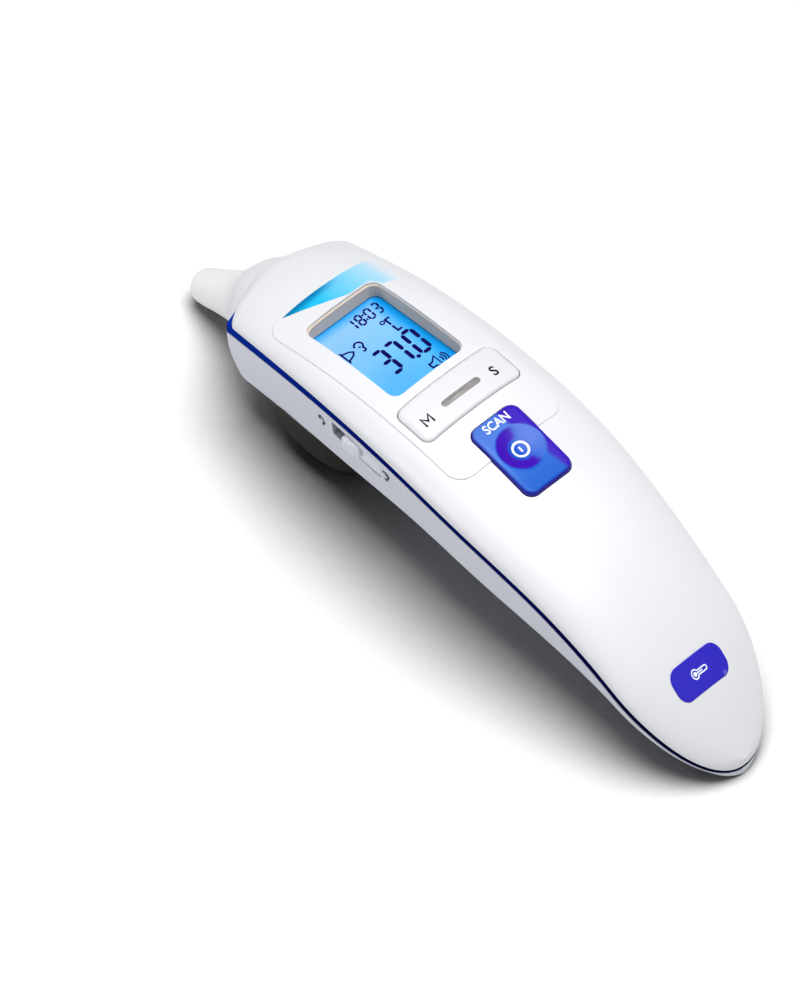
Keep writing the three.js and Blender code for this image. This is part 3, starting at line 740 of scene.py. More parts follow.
def plastic(name, color, rough=0.3, grain=0.02, grain_scale=9000, mottling=0.02, coat=0.0, sub=0.0,
            metallic=0.0, tint=None, spec=0.5, edge_light=0.12):
    """Moulded plastic: a faint mould texture, slow changes of gloss and tone, and a painted highlight that
    makes edges a little lighter.
    """
    material, tree, bsdf = graph(name)
    where = place(tree)
    slow = node(tree, "TexNoise", {"Vector": where, "Scale": 70.0, "Detail": 3.0}).outputs[0]
    fine = node(tree, "TexNoise", {"Vector": where, "Scale": grain_scale, "Detail": 2.0}).outputs[0]
    base = tint(tree, rgb(*color)) if tint else rgb(*color)
    tone = node(tree, "MapRange", {"Value": slow, "To Min": 1 - mottling, "To Max": 1 + mottling}).outputs[0]
    grey = node(tree, "CombineColor", {0: tone, 1: tone, 2: tone}).outputs[0]
    shade_color = mixed(tree, 1.0, base, grey, "MULTIPLY")
    # Painted highlight: convex edges, found by pointiness, are lightened towards white by edge_light.
    edge = node(tree, "NewGeometry").outputs["Pointiness"]
    painted_edge_highlight = node(tree, "MapRange", {"Value": edge, "From Min": 0.52, "From Max": 0.6,
                                   "To Max": edge_light}).outputs[0]
    set_input(tree, bsdf, "Base Color", mixed(tree, painted_edge_highlight, shade_color, (0.95, 0.95, 0.95, 1)))
    gloss = node(tree, "MapRange", {"Value": slow, "To Min": rough * 0.85,
                                    "To Max": rough * 1.15}).outputs[0]
    set_input(tree, bsdf, "Roughness", gloss)
    bump = node(tree, "Bump", {"Height": fine, "Strength": grain, "Distance": 0.0001}).outputs[0]
    set_input(tree, bsdf, "Normal", bump)
    bsdf.inputs["Metallic"].default_value = metallic
    bsdf.inputs["Coat Weight"].default_value = coat
    bsdf.inputs["Coat Roughness"].default_value = 0.08
    bsdf.inputs["Specular IOR Level"].default_value = spec
    if sub:
        bsdf.inputs["Subsurface Weight"].default_value = sub
        bsdf.inputs["Subsurface Radius"].default_value = (0.004, 0.004, 0.0035)
        bsdf.inputs["Subsurface Scale"].default_value = 1.0
    return material


def math_node(tree, operation, a, b=0.0):
    return node(tree, "Math", {0: a, 1: b}, operation=operation).outputs[0]


def times(tree, a, b):
    return math_node(tree, "MULTIPLY", a, b)


def soft_step(tree, value, low, high):
    return node(tree, "MapRange", {"Value": value, "From Min": low, "From Max": high},
                interpolation_type="SMOOTHSTEP").outputs[0]


def plan(tree, x0, y0):
    """Distances in millimetres from a body point, along the body and across it."""
    parts = node(tree, "SeparateXYZ", {0: place(tree)})
    x = math_node(tree, "SUBTRACT", times(tree, parts.outputs[0], 1 / MM), x0 - REST_X)
    y = math_node(tree, "SUBTRACT", times(tree, parts.outputs[1], 1 / MM), y0)
    return x, y


def button_tint(tree, _):
    """Blue key painted with reflection and shade: violet on the far side and round the near half of the dish,
    sky blue elsewhere, deep violet side walls as painted shade.
    """
    x, y = plan(tree, BUTTON["x"] + DISH_X, 0.0)
    r = math_node(tree, "SQRT", math_node(tree, "ADD", times(tree, x, x), times(tree, y, y)))
    toward = math_node(tree, "DIVIDE", times(tree, y, -1.0), math_node(tree, "ADD", r, 0.01))
    length = soft_step(tree, x, -9.0, 9.0)
    field = ramp(tree, length, [(0, rgb(70, 112, 204)), (0.5, rgb(66, 116, 208)), (1, rgb(8, 88, 190))])
    # Painted shade in the dish: deeper blue towards its near side.
    dish_shade = mixed(tree, soft_step(tree, y, 3.5, -2.0), rgb(66, 106, 200), rgb(20, 76, 190))
    field = mixed(tree, soft_step(tree, r, 5.2, 4.7), field, dish_shade)
    # Painted reflection: a violet ring round the near half of the dish.
    ring = times(tree, soft_step(tree, r, 2.1, 2.9), soft_step(tree, r, 5.1, 4.5))
    ring = times(tree, ring, soft_step(tree, toward, -0.5, -0.1))
    field = mixed(tree, ring, field, rgb(62, 20, 172))
    # Painted reflection: violet over the far side of the top.
    side = math_node(tree, "SUBTRACT", y, times(tree, x, 0.17))
    far = times(tree, soft_step(tree, side, 2.0, 3.3), soft_step(tree, r, 4.9, 5.4))
    field = mixed(tree, far, field, rgb(54, 22, 176))
    # Painted shade: side walls, picked by their world normal, turn deep violet.
    wall = node(tree, "SeparateXYZ", {0: node(tree, "NewGeometry").outputs["Normal"]}).outputs[2]
    return mixed(tree, soft_step(tree, wall, 0.86, 0.6), field, rgb(26, 14, 150))


def accent_tint(tree, _):
    """Cyan, darker along the head edge, fading to white at the far side."""
    x, y = plan(tree, 10.3, 0.0)
    bow = times(tree, times(tree, y, y), 0.0035)
    inward = math_node(tree, "SUBTRACT", x, bow)
    across = node(tree, "MapRange", {"Value": y, "From Min": -10.0, "From Max": 12.6}).outputs[0]
    main = ramp(tree, across, [(0, rgb(0, 176, 220)), (0.35, rgb(40, 188, 240)), (0.68, rgb(124, 204, 240)),
                               (0.9, rgb(170, 214, 236)), (1.0, rgb(216, 222, 230))])
    dark = times(tree, soft_step(tree, inward, 2.6, 0.3), soft_step(tree, y, 6.0, -2.0))
    return mixed(tree, dark, main, rgb(0, 120, 172))


def trim_tint(tree, _):
    """Brighter blue at the head, near black at the tail."""
    stops = [(0, rgb(8, 44, 150)), (0.4, rgb(2, 18, 104)), (1, rgb(2, 2, 48))]
    return ramp(tree, axis_value(tree, 0, -0.02, 0.10), stops)


def lcd_tint(tree, _):
    """Lit blue, with painted shade along the far and head edges at the foot of the recess walls."""
    x, y = plan(tree, DISPLAY["x"], DISPLAY["y"])
    # Painted shade: deeper blue along the far and head edges, next to the recess walls.
    wall_shade = math_node(tree, "MAXIMUM", soft_step(tree, y, 4.5, 8.5), soft_step(tree, x, -9.5, -13.0))
    stops = [(0, rgb(136, 188, 255)), (0.5, rgb(118, 186, 255)), (1, rgb(84, 174, 252))]
    main = ramp(tree, soft_step(tree, x, -12, 12), stops)
    return mixed(tree, wall_shade, main, rgb(20, 150, 228))


def strip_tint(tree, _):
    """Brushed along its length."""
    long = node(tree, "Mapping", {"Vector": place(tree), "Scale": (9000, 260, 9000)}).outputs[0]
    brush = node(tree, "TexNoise", {"Vector": long, "Scale": 1.0, "Detail": 3.0}).outputs[0]
    return ramp(tree, brush, [(0.25, rgb(96, 92, 92)), (0.6, rgb(152, 148, 146)), (0.8, rgb(190, 186, 184))])


white_shell = plastic("white_shell", (221, 222, 226), 0.42, 0.05)
white_panel = plastic("white_panel", (225, 225, 228), 0.34, 0.02)
white_probe = plastic("white_probe", (233, 234, 235), 0.4, 0.03, sub=0.15)
grey_shell = plastic("grey_shell", (206, 208, 220), 0.5, 0.12)
# The pod under the head end is coloured near black.
pod_near_black = plastic("pod_near_black", (27, 28, 22), 0.7, 0.35, 5200, mottling=0.08, spec=0.2)
white_key = plastic("white_key", (219, 220, 223), 0.36, 0.03)
knob_white = plastic("knob_white", (222, 223, 232), 0.45, 0.05)
bezel_grey = plastic("bezel_grey", (206, 190, 170), 0.6, 0.08, spec=0.1)
black_plastic = plastic("black_moulding", (34, 35, 39), 0.5, 0.15)
ink_black = plastic("ink_black", (22, 22, 40), 0.5, 0.02, spec=0.1, edge_light=0)
ink_white = plastic("ink_white", (240, 246, 255), 0.4, 0.02, edge_light=0)
badge_blue = plastic("badge_blue", (46, 38, 186), 0.4, 0.02, spec=0.15, edge_light=0.1)
trim_navy = plastic("trim_navy", (8, 28, 120), 0.55, 0.02, mottling=0.05, tint=trim_tint, spec=0.0,
                    edge_light=0.0)
button_blue = plastic("button_blue", (60, 110, 220), 0.3, 0.01, tint=button_tint, spec=0.12,
                      edge_light=0.05)
accent_cyan = plastic("accent_cyan", (60, 190, 235), 0.35, 0.01, tint=accent_tint, spec=0.2,
                      edge_light=0)
steel = plastic("steel", (200, 202, 206), 0.28, 0.1, metallic=1.0)
brushed = plastic("brushed_insert", (168, 170, 174), 0.45, 0.15, tint=strip_tint, metallic=0.4)
lcd_blue = plastic("lcd_blue", (90, 185, 255), 0.12, 0.0, tint=lcd_tint, spec=0.1)
segment_navy = plastic("segment_navy", (12, 4, 78), 0.4, 0.0, spec=0.1, edge_light=0)
zinc = plastic("zinc_screw", (176, 178, 184), 0.34, 0.2, 4000, metallic=1.0)
gold = plastic("gold_contact", (214, 176, 92), 0.3, 0.1, metallic=1.0)
copper = plastic("copper_flex", (196, 120, 62), 0.42, 0.12, 3000, metallic=0.5)
red_wire = plastic("red_wire", (186, 34, 30), 0.45, 0.1)
rubber_grey = plastic("rubber_grey", (84, 86, 90), 0.8, 0.3, 3000)
light_guide = plastic("light_guide", (226, 236, 246), 0.2, 0.02, sub=0.3)
dark_window = plastic("dark_window", (30, 32, 38), 0.12, 0.0, coat=0.5)


def board_tint(tree, _):
    """Green mask with the lighter green of buried tracks and small gold pads."""
    lines = node(tree, "TexBrick", {
        "Vector": place(tree), "Scale": 700.0, "Mortar Size": 0.03, "Mortar Smooth": 0.1,
        "Color1": rgb(26, 98, 58), "Color2": rgb(24, 88, 54), "Mortar": rgb(44, 130, 78)}).outputs[0]
    pads = node(tree, "TexVoronoi", {"Vector": place(tree), "Scale": 330.0}).outputs["Distance"]
    return mixed(tree, soft_step(tree, pads, 0.13, 0.1), lines, rgb(206, 172, 92))


board_green = plastic("board_green", (26, 98, 58), 0.35, 0.05, tint=board_tint)
NODE_MATERIALS = [
    (black_plastic, "scan_tact_switch memory_tact_switch set_tact_switch controller_chip sensor_amplifier"),
    (black_plastic, "buzzer mode_switch_body cell_holder"), (steel, "coin_cell thermopile_can"),
    (gold, "contact_plus contact_minus sensor_sleeve"), (zinc, "case_screw_1 case_screw_2 case_screw_3"),
    (light_guide, "backlight_guide"), (rubber_grey, "lcd_connector"), (board_green, "main_board"),
    (dark_window, "sensor_window"), (copper, "sensor_lead"), (red_wire, "battery_lead")]
for material, names in NODE_MATERIALS:
    for node_name in names.split():
        materials = bpy.data.objects[node_name].data.materials
        materials.clear()
        materials.append(material)

# ---- shells ----
def flare(grow):
    """The probe's outer envelope, grown, through the head wall."""
    along = np.linspace(0.4, 43, 60)
    return lathe([(s, r + grow) for s, r in zip(along, probe_radius(along))])


inner_radius = monotone(PROBE_INNER[5::-1])
bore_flare = [(s, float(inner_radius(s))) for s in np.linspace(17, 37, 24)]
bore = lathe([(-2, 2.5), (12.1, 2.5), (12.4, 3.2)] + bore_flare)
hull = cut(hull_solid(0.0), head_cutter())
band_block = cut(band_solid(0.05, lambda x: band_half(x) - 0.02), head_cutter(0.05))
probe_frame = frame_at(PROBE_TIP[0], PROBE_TIP[1], math.degrees(PROBE_PITCH))
head_part = common(nose_solid(), block(-60, NOSE_END - 0.3, -60, 60, -60, 90),
                   moved(block(PROBE_SPLIT, 70, -60, 60, -60, 60), probe_frame))
under = cut(hull_solid(0.05, 0.0), head_cutter(0.05))


# the skirt trims the head part level with the underside of the crown
def crown_foot(x, y):
    return parting_z(station_of(x, y)) + band_half(station_of(x, y))


skirt = slab(rounded(40, 50, 0.5, 12, 0, 2), [], crown_foot, lambda x, y: crown_foot(x, y) - 3, step=1.0)
skirt = cut(skirt, head_cutter(0.02))
front = join(crown_solid(start=NOSE_END - 1.0), head_part)
front = cut(front, skirt, under, band_block, crown_solid(-SHELL_WALL, 0.5, 3.0), bore.copy(),
            slab(lambda g: panel_outline(0.01), [], level(60), draped(PANEL["under"] - 0.1)),
            prism(window_local, 1.1, -12, 8, display_frame),
            prism(button_outline, 0.17, -8, 8, button_frame),
            prism(rocker_outline, 0.3, 30, 60))
piece("upper_shell", front, "case", white_shell, ["front_shell"], [section_field, nose_field])
TIP = [(0.0, 2.95), (0.06, 3.12), (0.18, 3.28), (0.4, 3.45), (0.65, 3.58)]
probe_profile = TIP + [(s, float(probe_radius(s))) for s in np.linspace(0.95, PROBE_SPLIT, 90)]
piece("probe_sleeve", cut(lathe(probe_profile, 160), bore.copy()), "case", white_probe,
      ["probe_cone"], [nose_field])

posts, wells = [], []
for x, y in SCREWS:
    post_top = float(parting_z(x)) - 1.1
    posts.append(common(rod(x, y, post_top - 24, post_top, 3.1), hull_solid(-0.8)))
    head_seat = float(parting_z(x)) - 3.9
    wells += [rod(x, y, post_top - 30, post_top + 3, 1.3), rod(x, y, post_top - 30, head_seat, 2.2)]
rear = cut(hull, cut(hull_solid(-SHELL_WALL, 0.5), head_cutter(-SHELL_WALL)), flare(-0.4),
           prism(rounded(DOOR["length"], DOOR["half"] * 2, 1.6), 0.3, -12, 1, door_frame),
           prism(rounded(14.5, SWITCH["height"] - 0.3, 0.7, -0.25), 0.0, 10, 26, wall_frame))
rear = cut(join(rear, *posts), *wells)
piece("lower_shell", rear, "case", grey_shell, ["rear_shell"], [hull_field])

band_room = cut(band_solid(-SHELL_WALL, lambda x: band_half(x) + 1), head_cutter(-SHELL_WALL))
band = cut(band_solid(-0.1, lambda x: band_half(x) - 0.12), band_room, head_cutter(), flare(-0.4))
piece("trim_line", band, "case", trim_navy, ["trim_band"])

door = common(cut(hull_solid(0.0), hull_solid(-SHELL_WALL, 0.5)),
              prism(rounded(DOOR["length"], DOOR["half"] * 2, 1.6), 0.0, -12, 1, door_frame))
ridges = [common(prism(rounded(0.9, 9, 0.4, x), 0, -8.9, -7.4, door_frame), hull_solid(0.35))
          for x in (-9, -7.4, -5.8)]
door = join(door, *ridges)
piece("battery_cover", door, "battery_door", grey_shell, ["battery_door"], [hull_field])

panel = slab(panel_outline, [window_plan, lambda g: rocker_outline(0.15 + g)], draped(PANEL["over"]),
             draped(PANEL["under"]), 0.35, 0.15, 0.6)
panel = cut(panel, prism(button_outline, 0.17, -8, 8, button_frame))
piece("face_plate", panel, "case", white_panel, ["face_panel"],
      [lambda p: p[:, 2] - crown_z(p[:, 0], p[:, 1], PANEL["over"])])

# ---- pod ----
def pod_solid(inset):
    rings = []
    n = POD["power"]
    lon = np.linspace(0, 2 * math.pi, 160, endpoint=False)
    for lat in np.radians(np.linspace(-89.2, 89.2, 90)):
        d = np.column_stack([np.cos(lat) * np.cos(lon), np.cos(lat) * np.sin(lon),
                             np.full(len(lon), np.sin(lat))])
        size = (np.abs(d) ** n).sum(1) ** (-1 / n)
        long = np.where(d[:, 0] < 0, POD["head"], POD["tail"]) - inset
        rings.append(np.column_stack([d[:, 0] * size * long + POD["x"],
                                      d[:, 1] * size * (POD["side"] - inset),
                                      d[:, 2] * size * (POD["depth"] - inset) + POD["z"]]))
    return tube(rings)


pod = cut(pod_solid(0), pod_solid(POD["wall"]), hull_solid(0.05), block(-60, 160, -60, 60, -40, 0),
          block(-60, 160, -60, 60, POD["z"] + 2, 90))
piece("foot_pod", pod, "case", pod_near_black, ["rear_pod"])

# ---- controls ----
rocker = slab(rocker_outline, [slot_outline], draped(ROCKER["over"]),
              draped(ROCKER["over"] - ROCKER["thick"]), 0.75, 0.25, 0.5)
piece("rocker_key", rocker, "menu_rocker", white_key, ["menu_rocker"])
insert = slab(slot_outline, [], draped(ROCKER["over"] - 0.42), draped(ROCKER["over"] - 1.6), 0.12, 0.0, 0.4)
piece("rocker_strip", insert, "menu_rocker", brushed, ["rocker_insert"])


def button_top(x, y):
    r = np.hypot(x - DISH_X, y)
    dish = DISH_DEPTH * (1 - np.minimum(1, r / DISH_RADIUS) ** 2)
    soft = 0.12 * (1 - (x / (BUTTON["length"] / 2)) ** 2)
    return BUTTON["over"] - 0.12 + soft - dish


cap = slab(button_outline, [], button_top, level(-3.2), 0.85, 0.0, 0.35)
piece("scan_key", moved(cap, button_frame), "scan_button", button_blue, ["scan_button"])

badge_outline = rounded(BADGE["width"], BADGE["half"] * 2, 2.2, BADGE["x"])
badge = slab(badge_outline, [], draped(BADGE["over"]), draped(0.08), 0.18, 0.0, 0.4)
piece("badge_plate", badge, "case", badge_blue, ["tail_badge"])

# ---- display ----
frame_top = local_surface(DISPLAY["x"], DISPLAY["z"], DISPLAY["tilt"], PANEL["under"] - 0.02, DISPLAY["y"])
bezel = slab(lambda g: window_local(0.75 + g), [lambda g: window_local(-0.2 + g)], frame_top,
             level(-DISPLAY["depth"]), 0.0, 0.0, 0.6)
piece("display_surround", moved(bezel, display_frame), "case", bezel_grey, ["display_bezel"])
LCD_TOP = -4.4
glass = slab(rounded(30, 21.8, 0.5), [], level(LCD_TOP), level(-5.5), 0.1, 0.0, 2.0)
piece("lcd_panel", moved(glass, display_frame), "case", lcd_blue, ["lcd_glass"])


def bezier(p0, p1, p2, count=14):
    t = np.linspace(0, 1, count, endpoint=False)[:, None]
    return (1 - t) ** 2 * np.array(p0) + 2 * t * (1 - t) * np.array(p1) + t * t * np.array(p2)


accent_loop = np.concatenate([
    bezier((10.6, -10.2), (10.0, 0), (10.9, 11.8)), bezier((10.9, 11.8), (11.4, 13.2), (13.2, 13.6), 6),
    bezier((13.2, 13.6), (17, 13.6), (20.6, 13.6), 6), bezier((20.6, 13.6), (16.6, 2), (10.6, -10.2), 20)])
accent = slab(lambda g: accent_loop, [], draped(PANEL["over"] + 0.05), draped(PANEL["over"] + 0.005),
              step=0.5)
accent = cut(accent, prism(window_plan, 0.25, 30, 60))
piece("accent_crescent", accent, "case", accent_cyan, ["accent_inlay"],
      [lambda p: p[:, 2] - crown_z(p[:, 0], p[:, 1], PANEL["over"] + 0.05)])

# ---- printed marks: thin solids that follow the surface they sit on ----
def plate_from_faces(flat, faces, place, low, high):
    """A thin solid over 2-D faces. place(u, v, h) gives the body point."""
    n = len(flat)
    points = [place(u, v, high) for u, v in flat] + [place(u, v, low) for u, v in flat]
    solid = [tuple(f) for f in faces] + [tuple(i + n for i in reversed(f)) for f in faces]
    edges = {}
    for f in faces:
        for a, b in zip(f, list(f[1:]) + [f[0]]):
            edges[(a, b)] = True
    for a, b in edges:
        if (b, a) not in edges:
            solid.append((b, a, a + n, b + n))
    return points, solid


def merged(parts):
    """One mesh from several plates or strokes."""
    points, faces = [], []
    for p, f in parts:
        start = len(points)
        points += list(p)
        faces += [tuple(i + start for i in face) for face in f]
    return mesh_from(points, faces)


def stroke(path, width, place, low=-0.03, high=0.03, closed=False):
    """A line of even width along a 2-D path."""
    p = np.array(path, float)
    ahead, behind = np.roll(p, -1, 0) - p, p - np.roll(p, 1, 0)
    if not closed:
        ahead[-1], behind[0] = behind[-1], ahead[0]
    a = ahead / np.linalg.norm(ahead, axis=1, keepdims=True)
    b = behind / np.linalg.norm(behind, axis=1, keepdims=True)
    t = a + b
    t /= np.linalg.norm(t, axis=1, keepdims=True)
    normal = np.column_stack([-t[:, 1], t[:, 0]])
    miter = np.minimum(1.6, 1 / np.maximum(0.4, np.abs(np.sum(t * a, 1))))[:, None]
    left, right = p + normal * miter * width / 2, p - normal * miter * width / 2
    n = len(p)
    count = n if closed else n - 1
    faces = [(i, (i + 1) % n, (i + 1) % n + n, i + n)[::-1] for i in range(count)]
    return plate_from_faces(np.concatenate([left, right]), faces, place, low, high)


def arc(cx, cy, r, start, end, count=20):
    t = np.radians(np.linspace(start, end, count))
    return np.column_stack([cx + r * np.cos(t), cy + r * np.sin(t)])


def lettering(text, size, place, low=-0.03, high=0.035, weight=0.02, stretch=1.0):
    """Plain capitals from the built-in font, centred on the origin of the marks' own plane."""
    curve = bpy.data.curves.new("tmp", "FONT")
    curve.body, curve.size, curve.align_x, curve.align_y = text, size, "CENTER", "CENTER"
    curve.offset, curve.resolution_u = weight * size, 6
    obj = bpy.data.objects.new("tmp", curve)
    bpy.context.scene.collection.objects.link(obj)
    mesh = bpy.data.meshes.new_from_object(obj.evaluated_get(bpy.context.evaluated_depsgraph_get()))
    bpy.data.objects.remove(obj)
    bm = bmesh.new()
    bm.from_mesh(mesh)
    bmesh.ops.remove_doubles(bm, verts=bm.verts, dist=1e-5)
    bmesh.ops.triangulate(bm, faces=bm.faces)
    flat = np.array([(v.co.x * stretch, v.co.y) for v in bm.verts])
    flat -= (flat.min(0) + flat.max(0)) / 2
    faces = [[v.index for v in f.verts] for f in bm.faces]
    bm.free()
    faces = [f if area(flat[f]) > 0 else f[::-1] for f in faces]
    return plate_from_faces(flat, faces, place, low, high)


def area(p):
    x, y = np.array(p).T
    return float(np.sum(x * np.roll(y, -1) - y * np.roll(x, -1))) / 2


def on_crown(x0, y0, lift):
    """Marks on the body: u runs across to +y, v runs towards the head."""
    def place(u, v, h):
        x, y = x0 - v, y0 + u
        return (x, y, float(crown_z(np.array([x]), np.array([y]), lift)[0]) + h)
    return place


def on_frame(matrix, x0, y0, height):
    """Marks on a tilted part: the same axes as on_crown, over a height function of that part."""
    def place(u, v, h):
        x, y = x0 - v, y0 + u
        return tuple(matrix @ Vector((x, y, float(height(x, y)) + h)))
    return place


def wall_y(x, z):
    """Half width of the side wall at a height, with its draft."""
    down = np.clip((parting_z(x) - band_half(x) - z) / (drop_raw(x) - band_half(x)), 0, 1)
    return float(half_width(x)) - WALL_DRAFT * float(down)


def on_wall(x0, z0, turn=0.0):
    """Marks on the switch side: u runs along the body to the tail, v runs up."""
    c, s = math.cos(math.radians(turn)), math.sin(math.radians(turn))

    def place(u, v, h):
        x, z = x0 + u * c - v * s, z0 + u * s + v * c
        return (x, -wall_y(x, z) - h, z)
    return place


SEGMENT_HIGH, BAR_LEAN, FIGURE_PITCH = 0.06, 0.04, 1.28


def bars(text, left, base, height, width, thick, place):
    """Seven-bar figures. left, base: lower left corner of the first figure."""
    shapes = {"0": "abcdef", "1": "bc", "3": "abcdg", "7": "abc", "8": "abcdefg"}
    w, h, t, gap, mid = width, height, thick / 2, thick * 0.16, height / 2
    spots = {"a": ((t, h - t), (w - t, h - t)), "d": ((t, t), (w - t, t)), "g": ((t, mid), (w - t, mid)),
             "f": ((t, mid), (t, h - t)), "b": ((w - t, mid), (w - t, h - t)),
             "e": ((t, t), (t, mid)), "c": ((w - t, t), (w - t, mid))}
    out, x = [], left
    for figure in text:
        for name in shapes[figure]:
            (x0, y0), (x1, y1) = spots[name]
            if y0 == y1:
                x0, x1 = x0 + gap, x1 - gap
                outline = [(x0, y0), (x0 + t, y0 - t), (x1 - t, y0 - t),
                           (x1, y0), (x1 - t, y0 + t), (x0 + t, y0 + t)]
            else:
                y0, y1 = y0 + gap, y1 - gap
                outline = [(x0, y0), (x0 + t, y0 + t), (x0 + t, y1 - t),
                           (x0, y1), (x0 - t, y1 - t), (x0 - t, y0 + t)]
            flat = [(x + px + BAR_LEAN * py, base + py) for px, py in outline]
            out.append(plate_from_faces(flat, [(0, 1, 2, 3, 4, 5)], place, 0.0, SEGMENT_HIGH))
        x += width * FIGURE_PITCH
    return out


def dot(u, v, r, place, low=0.0, high=0.05):
    ring = arc(u, v, r, 0, 342, 20)
    return plate_from_faces([tuple(p) for p in ring], [tuple(range(20))], place, low, high)


lcd_place = on_frame(display_frame, 0, 0.5, lambda x, y: LCD_TOP)
marks = bars("1", -0.75, 8.6, 3.4, 1.2, 0.44, lcd_place) + bars("8", 1.0, 8.6, 3.4, 1.65, 0.44, lcd_place)
marks += bars("03", 3.4, 8.6, 3.4, 1.65, 0.44, lcd_place)
marks += [dot(3.05, 9.5, 0.25, lcd_place), dot(3.1, 11.0, 0.25, lcd_place)]
marks += bars("3", -3.85, -6.0, 7.8, 3.2, 0.86, lcd_place) + bars("7", -0.6, -6.0, 7.8, 3.2, 0.86, lcd_place)
marks += bars("0", 3.85, -6.0, 7.8, 3.2, 0.86, lcd_place) + [dot(3.2, -5.5, 0.48, lcd_place)]
marks += [stroke(arc(4.35, 6.5, 0.45, 0, 342, 20), 0.3, lcd_place, 0, SEGMENT_HIGH, True)]
marks += [stroke(p, 0.46, lcd_place, 0, SEGMENT_HIGH) for p in (
    [(6.35, 6.75), (5.25, 6.75), (5.25, 4.9)], [(5.2, 4.5), (5.2, 2.75), (6.25, 2.75)])]
EAR = np.concatenate([arc(0, 0.55, 0.85, 175, -35, 18), [(0.35, -0.35)], arc(0.05, -0.85, 0.4, 20, -150, 8)])
marks += [stroke(EAR * [1.05, 1.1] + [-3.0, 4.85], 0.4, lcd_place, 0, SEGMENT_HIGH),
          dot(-3.1, 4.95, 0.25, lcd_place)]
marks += [stroke(p, 0.38, lcd_place, 0, SEGMENT_HIGH) for p in (
    [(-7.1, 6.6), (-7.1, 3.0)], [(-7.0, 6.0), (-5.4, 5.5), (-4.8, 4.9), (-5.4, 4.2), (-7.0, 3.6)])]
SPEAKER = [(3.0, -8.7), (3.9, -8.7), (5.1, -7.6), (5.1, -11.1), (3.9, -10.0), (3.0, -10.0)]
marks += [stroke(SPEAKER, 0.38, lcd_place, 0, SEGMENT_HIGH, True)]
marks += [stroke(arc(5.0, -9.3, r, 42, -42, 9), 0.3, lcd_place, 0, SEGMENT_HIGH) for r in (1.0, 1.6, 2.2)]
piece("lcd_segments", merged(marks), "case", segment_navy)

LABEL_X = 52.1
LETTER_M = [(-0.95, -1.1), (-0.95, 1.1), (0, -0.25), (0.95, 1.1), (0.95, -1.1)]
label = merged([stroke(LETTER_M, 0.42, on_crown(LABEL_X, -9.3, ROCKER["over"]))])
piece("label_m", label, "menu_rocker", ink_black)
label = merged([lettering("S", 3.3, on_crown(LABEL_X, 8.3, ROCKER["over"]), stretch=0.95)])
piece("label_s", label, "menu_rocker", ink_black)
scan_place = on_frame(button_frame, -7.3, -0.1, button_top)
label = merged([lettering("SCAN", 2.85, scan_place, weight=0.015, stretch=0.86)])
piece("label_scan", label, "scan_button", ink_white)
key_place = on_frame(button_frame, DISH_X, 0, button_top)
piece("label_ring", merged([stroke(arc(0, 0, 1.62, 0, 354, 60), 0.48, key_place, -0.03, 0.04, True),
                            stroke([(0, -0.62), (0, 0.62)], 0.42, key_place, -0.03, 0.04)]),
      "scan_button", ink_white)
GLYPH = np.concatenate([arc(0, 1.45, 0.36, 0, 180, 12), arc(0, -1.15, 0.74, 119, 421, 28)])
badge_place = on_crown(BADGE["x"], 0, BADGE["over"])


def tilted(u, v, h):
    """The badge's own axes: v runs across the body."""
    return badge_place(v, -u, h)


piece("badge_mark", merged([stroke(GLYPH, 0.22, tilted, -0.03, 0.03, True),
                            dot(0, -1.15, 0.38, tilted, -0.03, 0.03),
                            stroke([(0, -0.77), (0, 0.7)], 0.2, tilted, -0.03, 0.03)]),
      "case", ink_white)
ear_wall = on_wall(50.1, float(parting_z(50.1)) - 4.7, -6)
head_wall = on_wall(30.7, float(parting_z(30.7)) - 5.4, 8)
piece("icon_ear", merged([stroke(EAR * [1.05, 1.05], 0.34, ear_wall, -0.2, 0.08),
                          stroke(arc(0.0, 0.45, 0.3, 160, -60, 10), 0.22, ear_wall, -0.2, 0.08)]),
      "case", ink_black)
FACE = [(-0.55, 1.35), (-0.1, 1.5), (0.35, 1.2), (0.45, 0.6), (0.8, 0.05), (0.45, -0.15),
        (0.5, -0.6), (0.05, -0.8), (0.0, -1.3)]
piece("icon_forehead", merged([stroke(FACE, 0.34, head_wall, -0.2, 0.08),
                               stroke([(-1.0, 0.9), (-0.35, 0.3)], 0.55, head_wall, -0.2, 0.08)]),
      "case", ink_black)

# ---- mode switch ----
GRIP_X, RIDGE_HIGH, RIDGE_PITCH = 1.25, 0.13, 1.12


def grip_top(x, _):
    """Ridges across the grip, and a ramp down to the shutter."""
    ridge = RIDGE_HIGH * np.cos((x + GRIP_X) * 2 * math.pi / RIDGE_PITCH)
    inside_grip = smoothstep(2.1 - np.abs(x + GRIP_X), 0.0, 0.5)
    return 19.3 + ridge * inside_grip - 0.35 * smoothstep(x, -GRIP_X, 2.2 - GRIP_X)


shutter = slab(rounded(10.4, 4.3, 0.5, 1.6), [], level(17.9), level(17.1), 0.12, 0, 0.7)
grip = slab(rounded(4.7, 3.5, 0.7, -GRIP_X, 0.35), [], grip_top, level(17.2), 0.45, 0, 0.14)
knob = moved(join(shutter, grip), wall_frame)
piece("mode_knob", knob, "mode_switch", knob_white, ["mode_switch_knob"])

# ---- stage ----
floor_mesh = bpy.data.meshes.new("floor")
floor_mesh.from_pydata([(-3, -3, 0), (3, -3, 0), (3, 3, 0), (-3, 3, 0)], [], [(0, 1, 2, 3)])
floor = bpy.data.objects.new("floor", floor_mesh)
bpy.context.scene.collection.objects.link(floor)


def painted_floor_shadow(tree, base):
    """Paper with a painted shadow: it darkens where the object closes off the sky above it."""
    open_sky = node(tree, "AmbientOcclusion", {"Distance": 0.055}, samples=8).outputs["AO"]
    # The grey is the painted shadow colour, mixed in by ambient occlusion.
    return mixed(tree, soft_step(tree, open_sky, 0.25, 0.92), rgb(158, 158, 156), base)


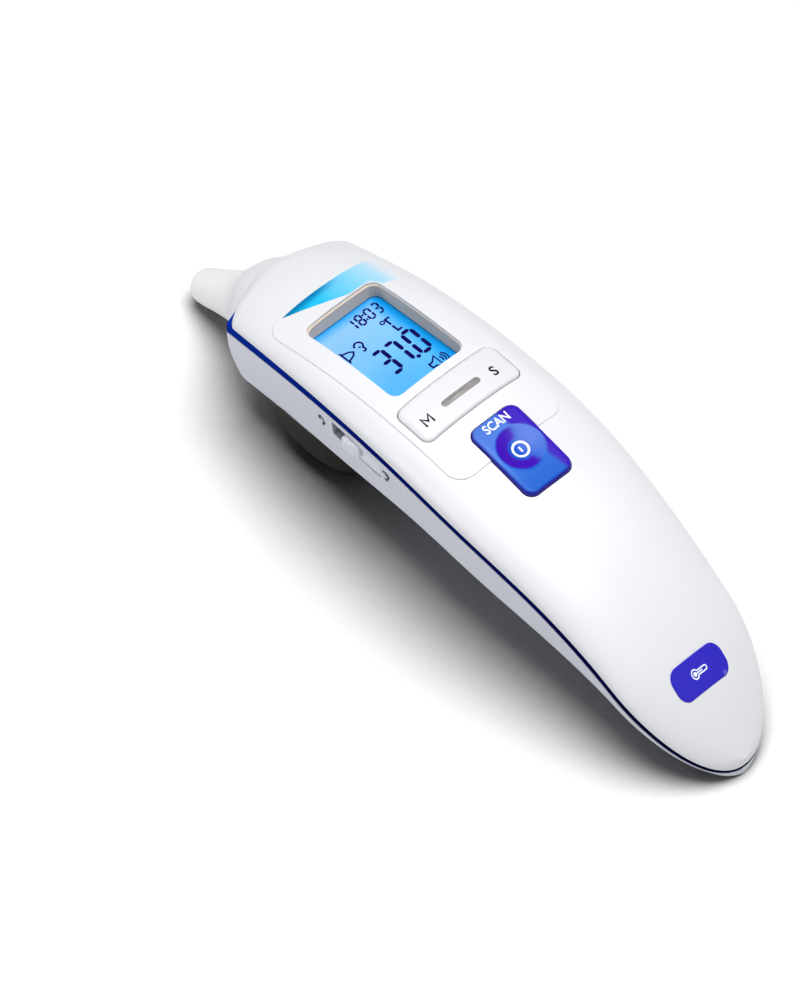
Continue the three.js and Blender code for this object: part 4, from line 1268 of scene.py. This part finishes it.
paper = plastic("studio_floor", (250, 250, 249), 0.8, 0.0, mottling=0.004, spec=0.0, tint=painted_floor_shadow)
floor_mesh.materials.append(paper)
floor.location.z = min(0.0, cad_box[0][2])

world = bpy.data.worlds.new("studio")
world.use_nodes = True
world.node_tree.nodes["Background"].inputs[0].default_value = (0.97, 0.98, 1.0, 1)
world.node_tree.nodes["Background"].inputs[1].default_value = 0.035
bpy.context.scene.world = world

subject = bpy.data.collections.new("subject")
for made in bpy.data.objects:
    if made.type == "MESH" and made != floor:
        subject.objects.link(made)


def softbox(name, position, target, size, power, color=(1, 1, 1), only=None):
    light = bpy.data.lights.new(name, "AREA")
    light.shape, light.size, light.energy, light.color = "DISK", size, power, color
    obj = bpy.data.objects.new(name, light)
    obj.location = position
    obj.rotation_euler = (Vector(target) - Vector(position)).to_track_quat("-Z", "Y").to_euler()
    bpy.context.scene.collection.objects.link(obj)
    if only:
        obj.light_linking.receiver_collection = only


softbox("key", (0.08, 0.07, 1.1), (0.03, 0, 0.02), 0.78, 14.8)
softbox("fill", (-0.35, -1.0, 0.4), (0.03, 0, 0.02), 0.5, 3.6, (0.95, 0.97, 1.0), subject)
softbox("tail_fill", (1.0, 0.3, 0.6), (0.03, 0, 0.02), 0.6, 1.6, (1.0, 1.0, 1.0), subject)

camera_data = bpy.data.cameras.new("camera")
camera = bpy.data.objects.new("camera", camera_data)
bpy.context.scene.collection.objects.link(camera)
camera_data.sensor_width, camera_data.lens = 36.0, 254.06
camera_data.clip_start, camera_data.clip_end = 0.05, 20
camera.location = (0.62480, -0.56410, 1.14937)
gaze = Vector((-0.42854688, 0.39521425, -0.81249816))
TURN = math.radians(47.32)
across = Vector((math.cos(TURN), math.sin(TURN), 0))
lift = across.cross(gaze)
camera.matrix_world = Matrix((
    (across.x, lift.x, -gaze.x, camera.location.x), (across.y, lift.y, -gaze.y, camera.location.y),
    (across.z, lift.z, -gaze.z, camera.location.z), (0, 0, 0, 1)))
bpy.context.scene.camera = camera
bpy.context.scene.view_settings.view_transform = "Standard"
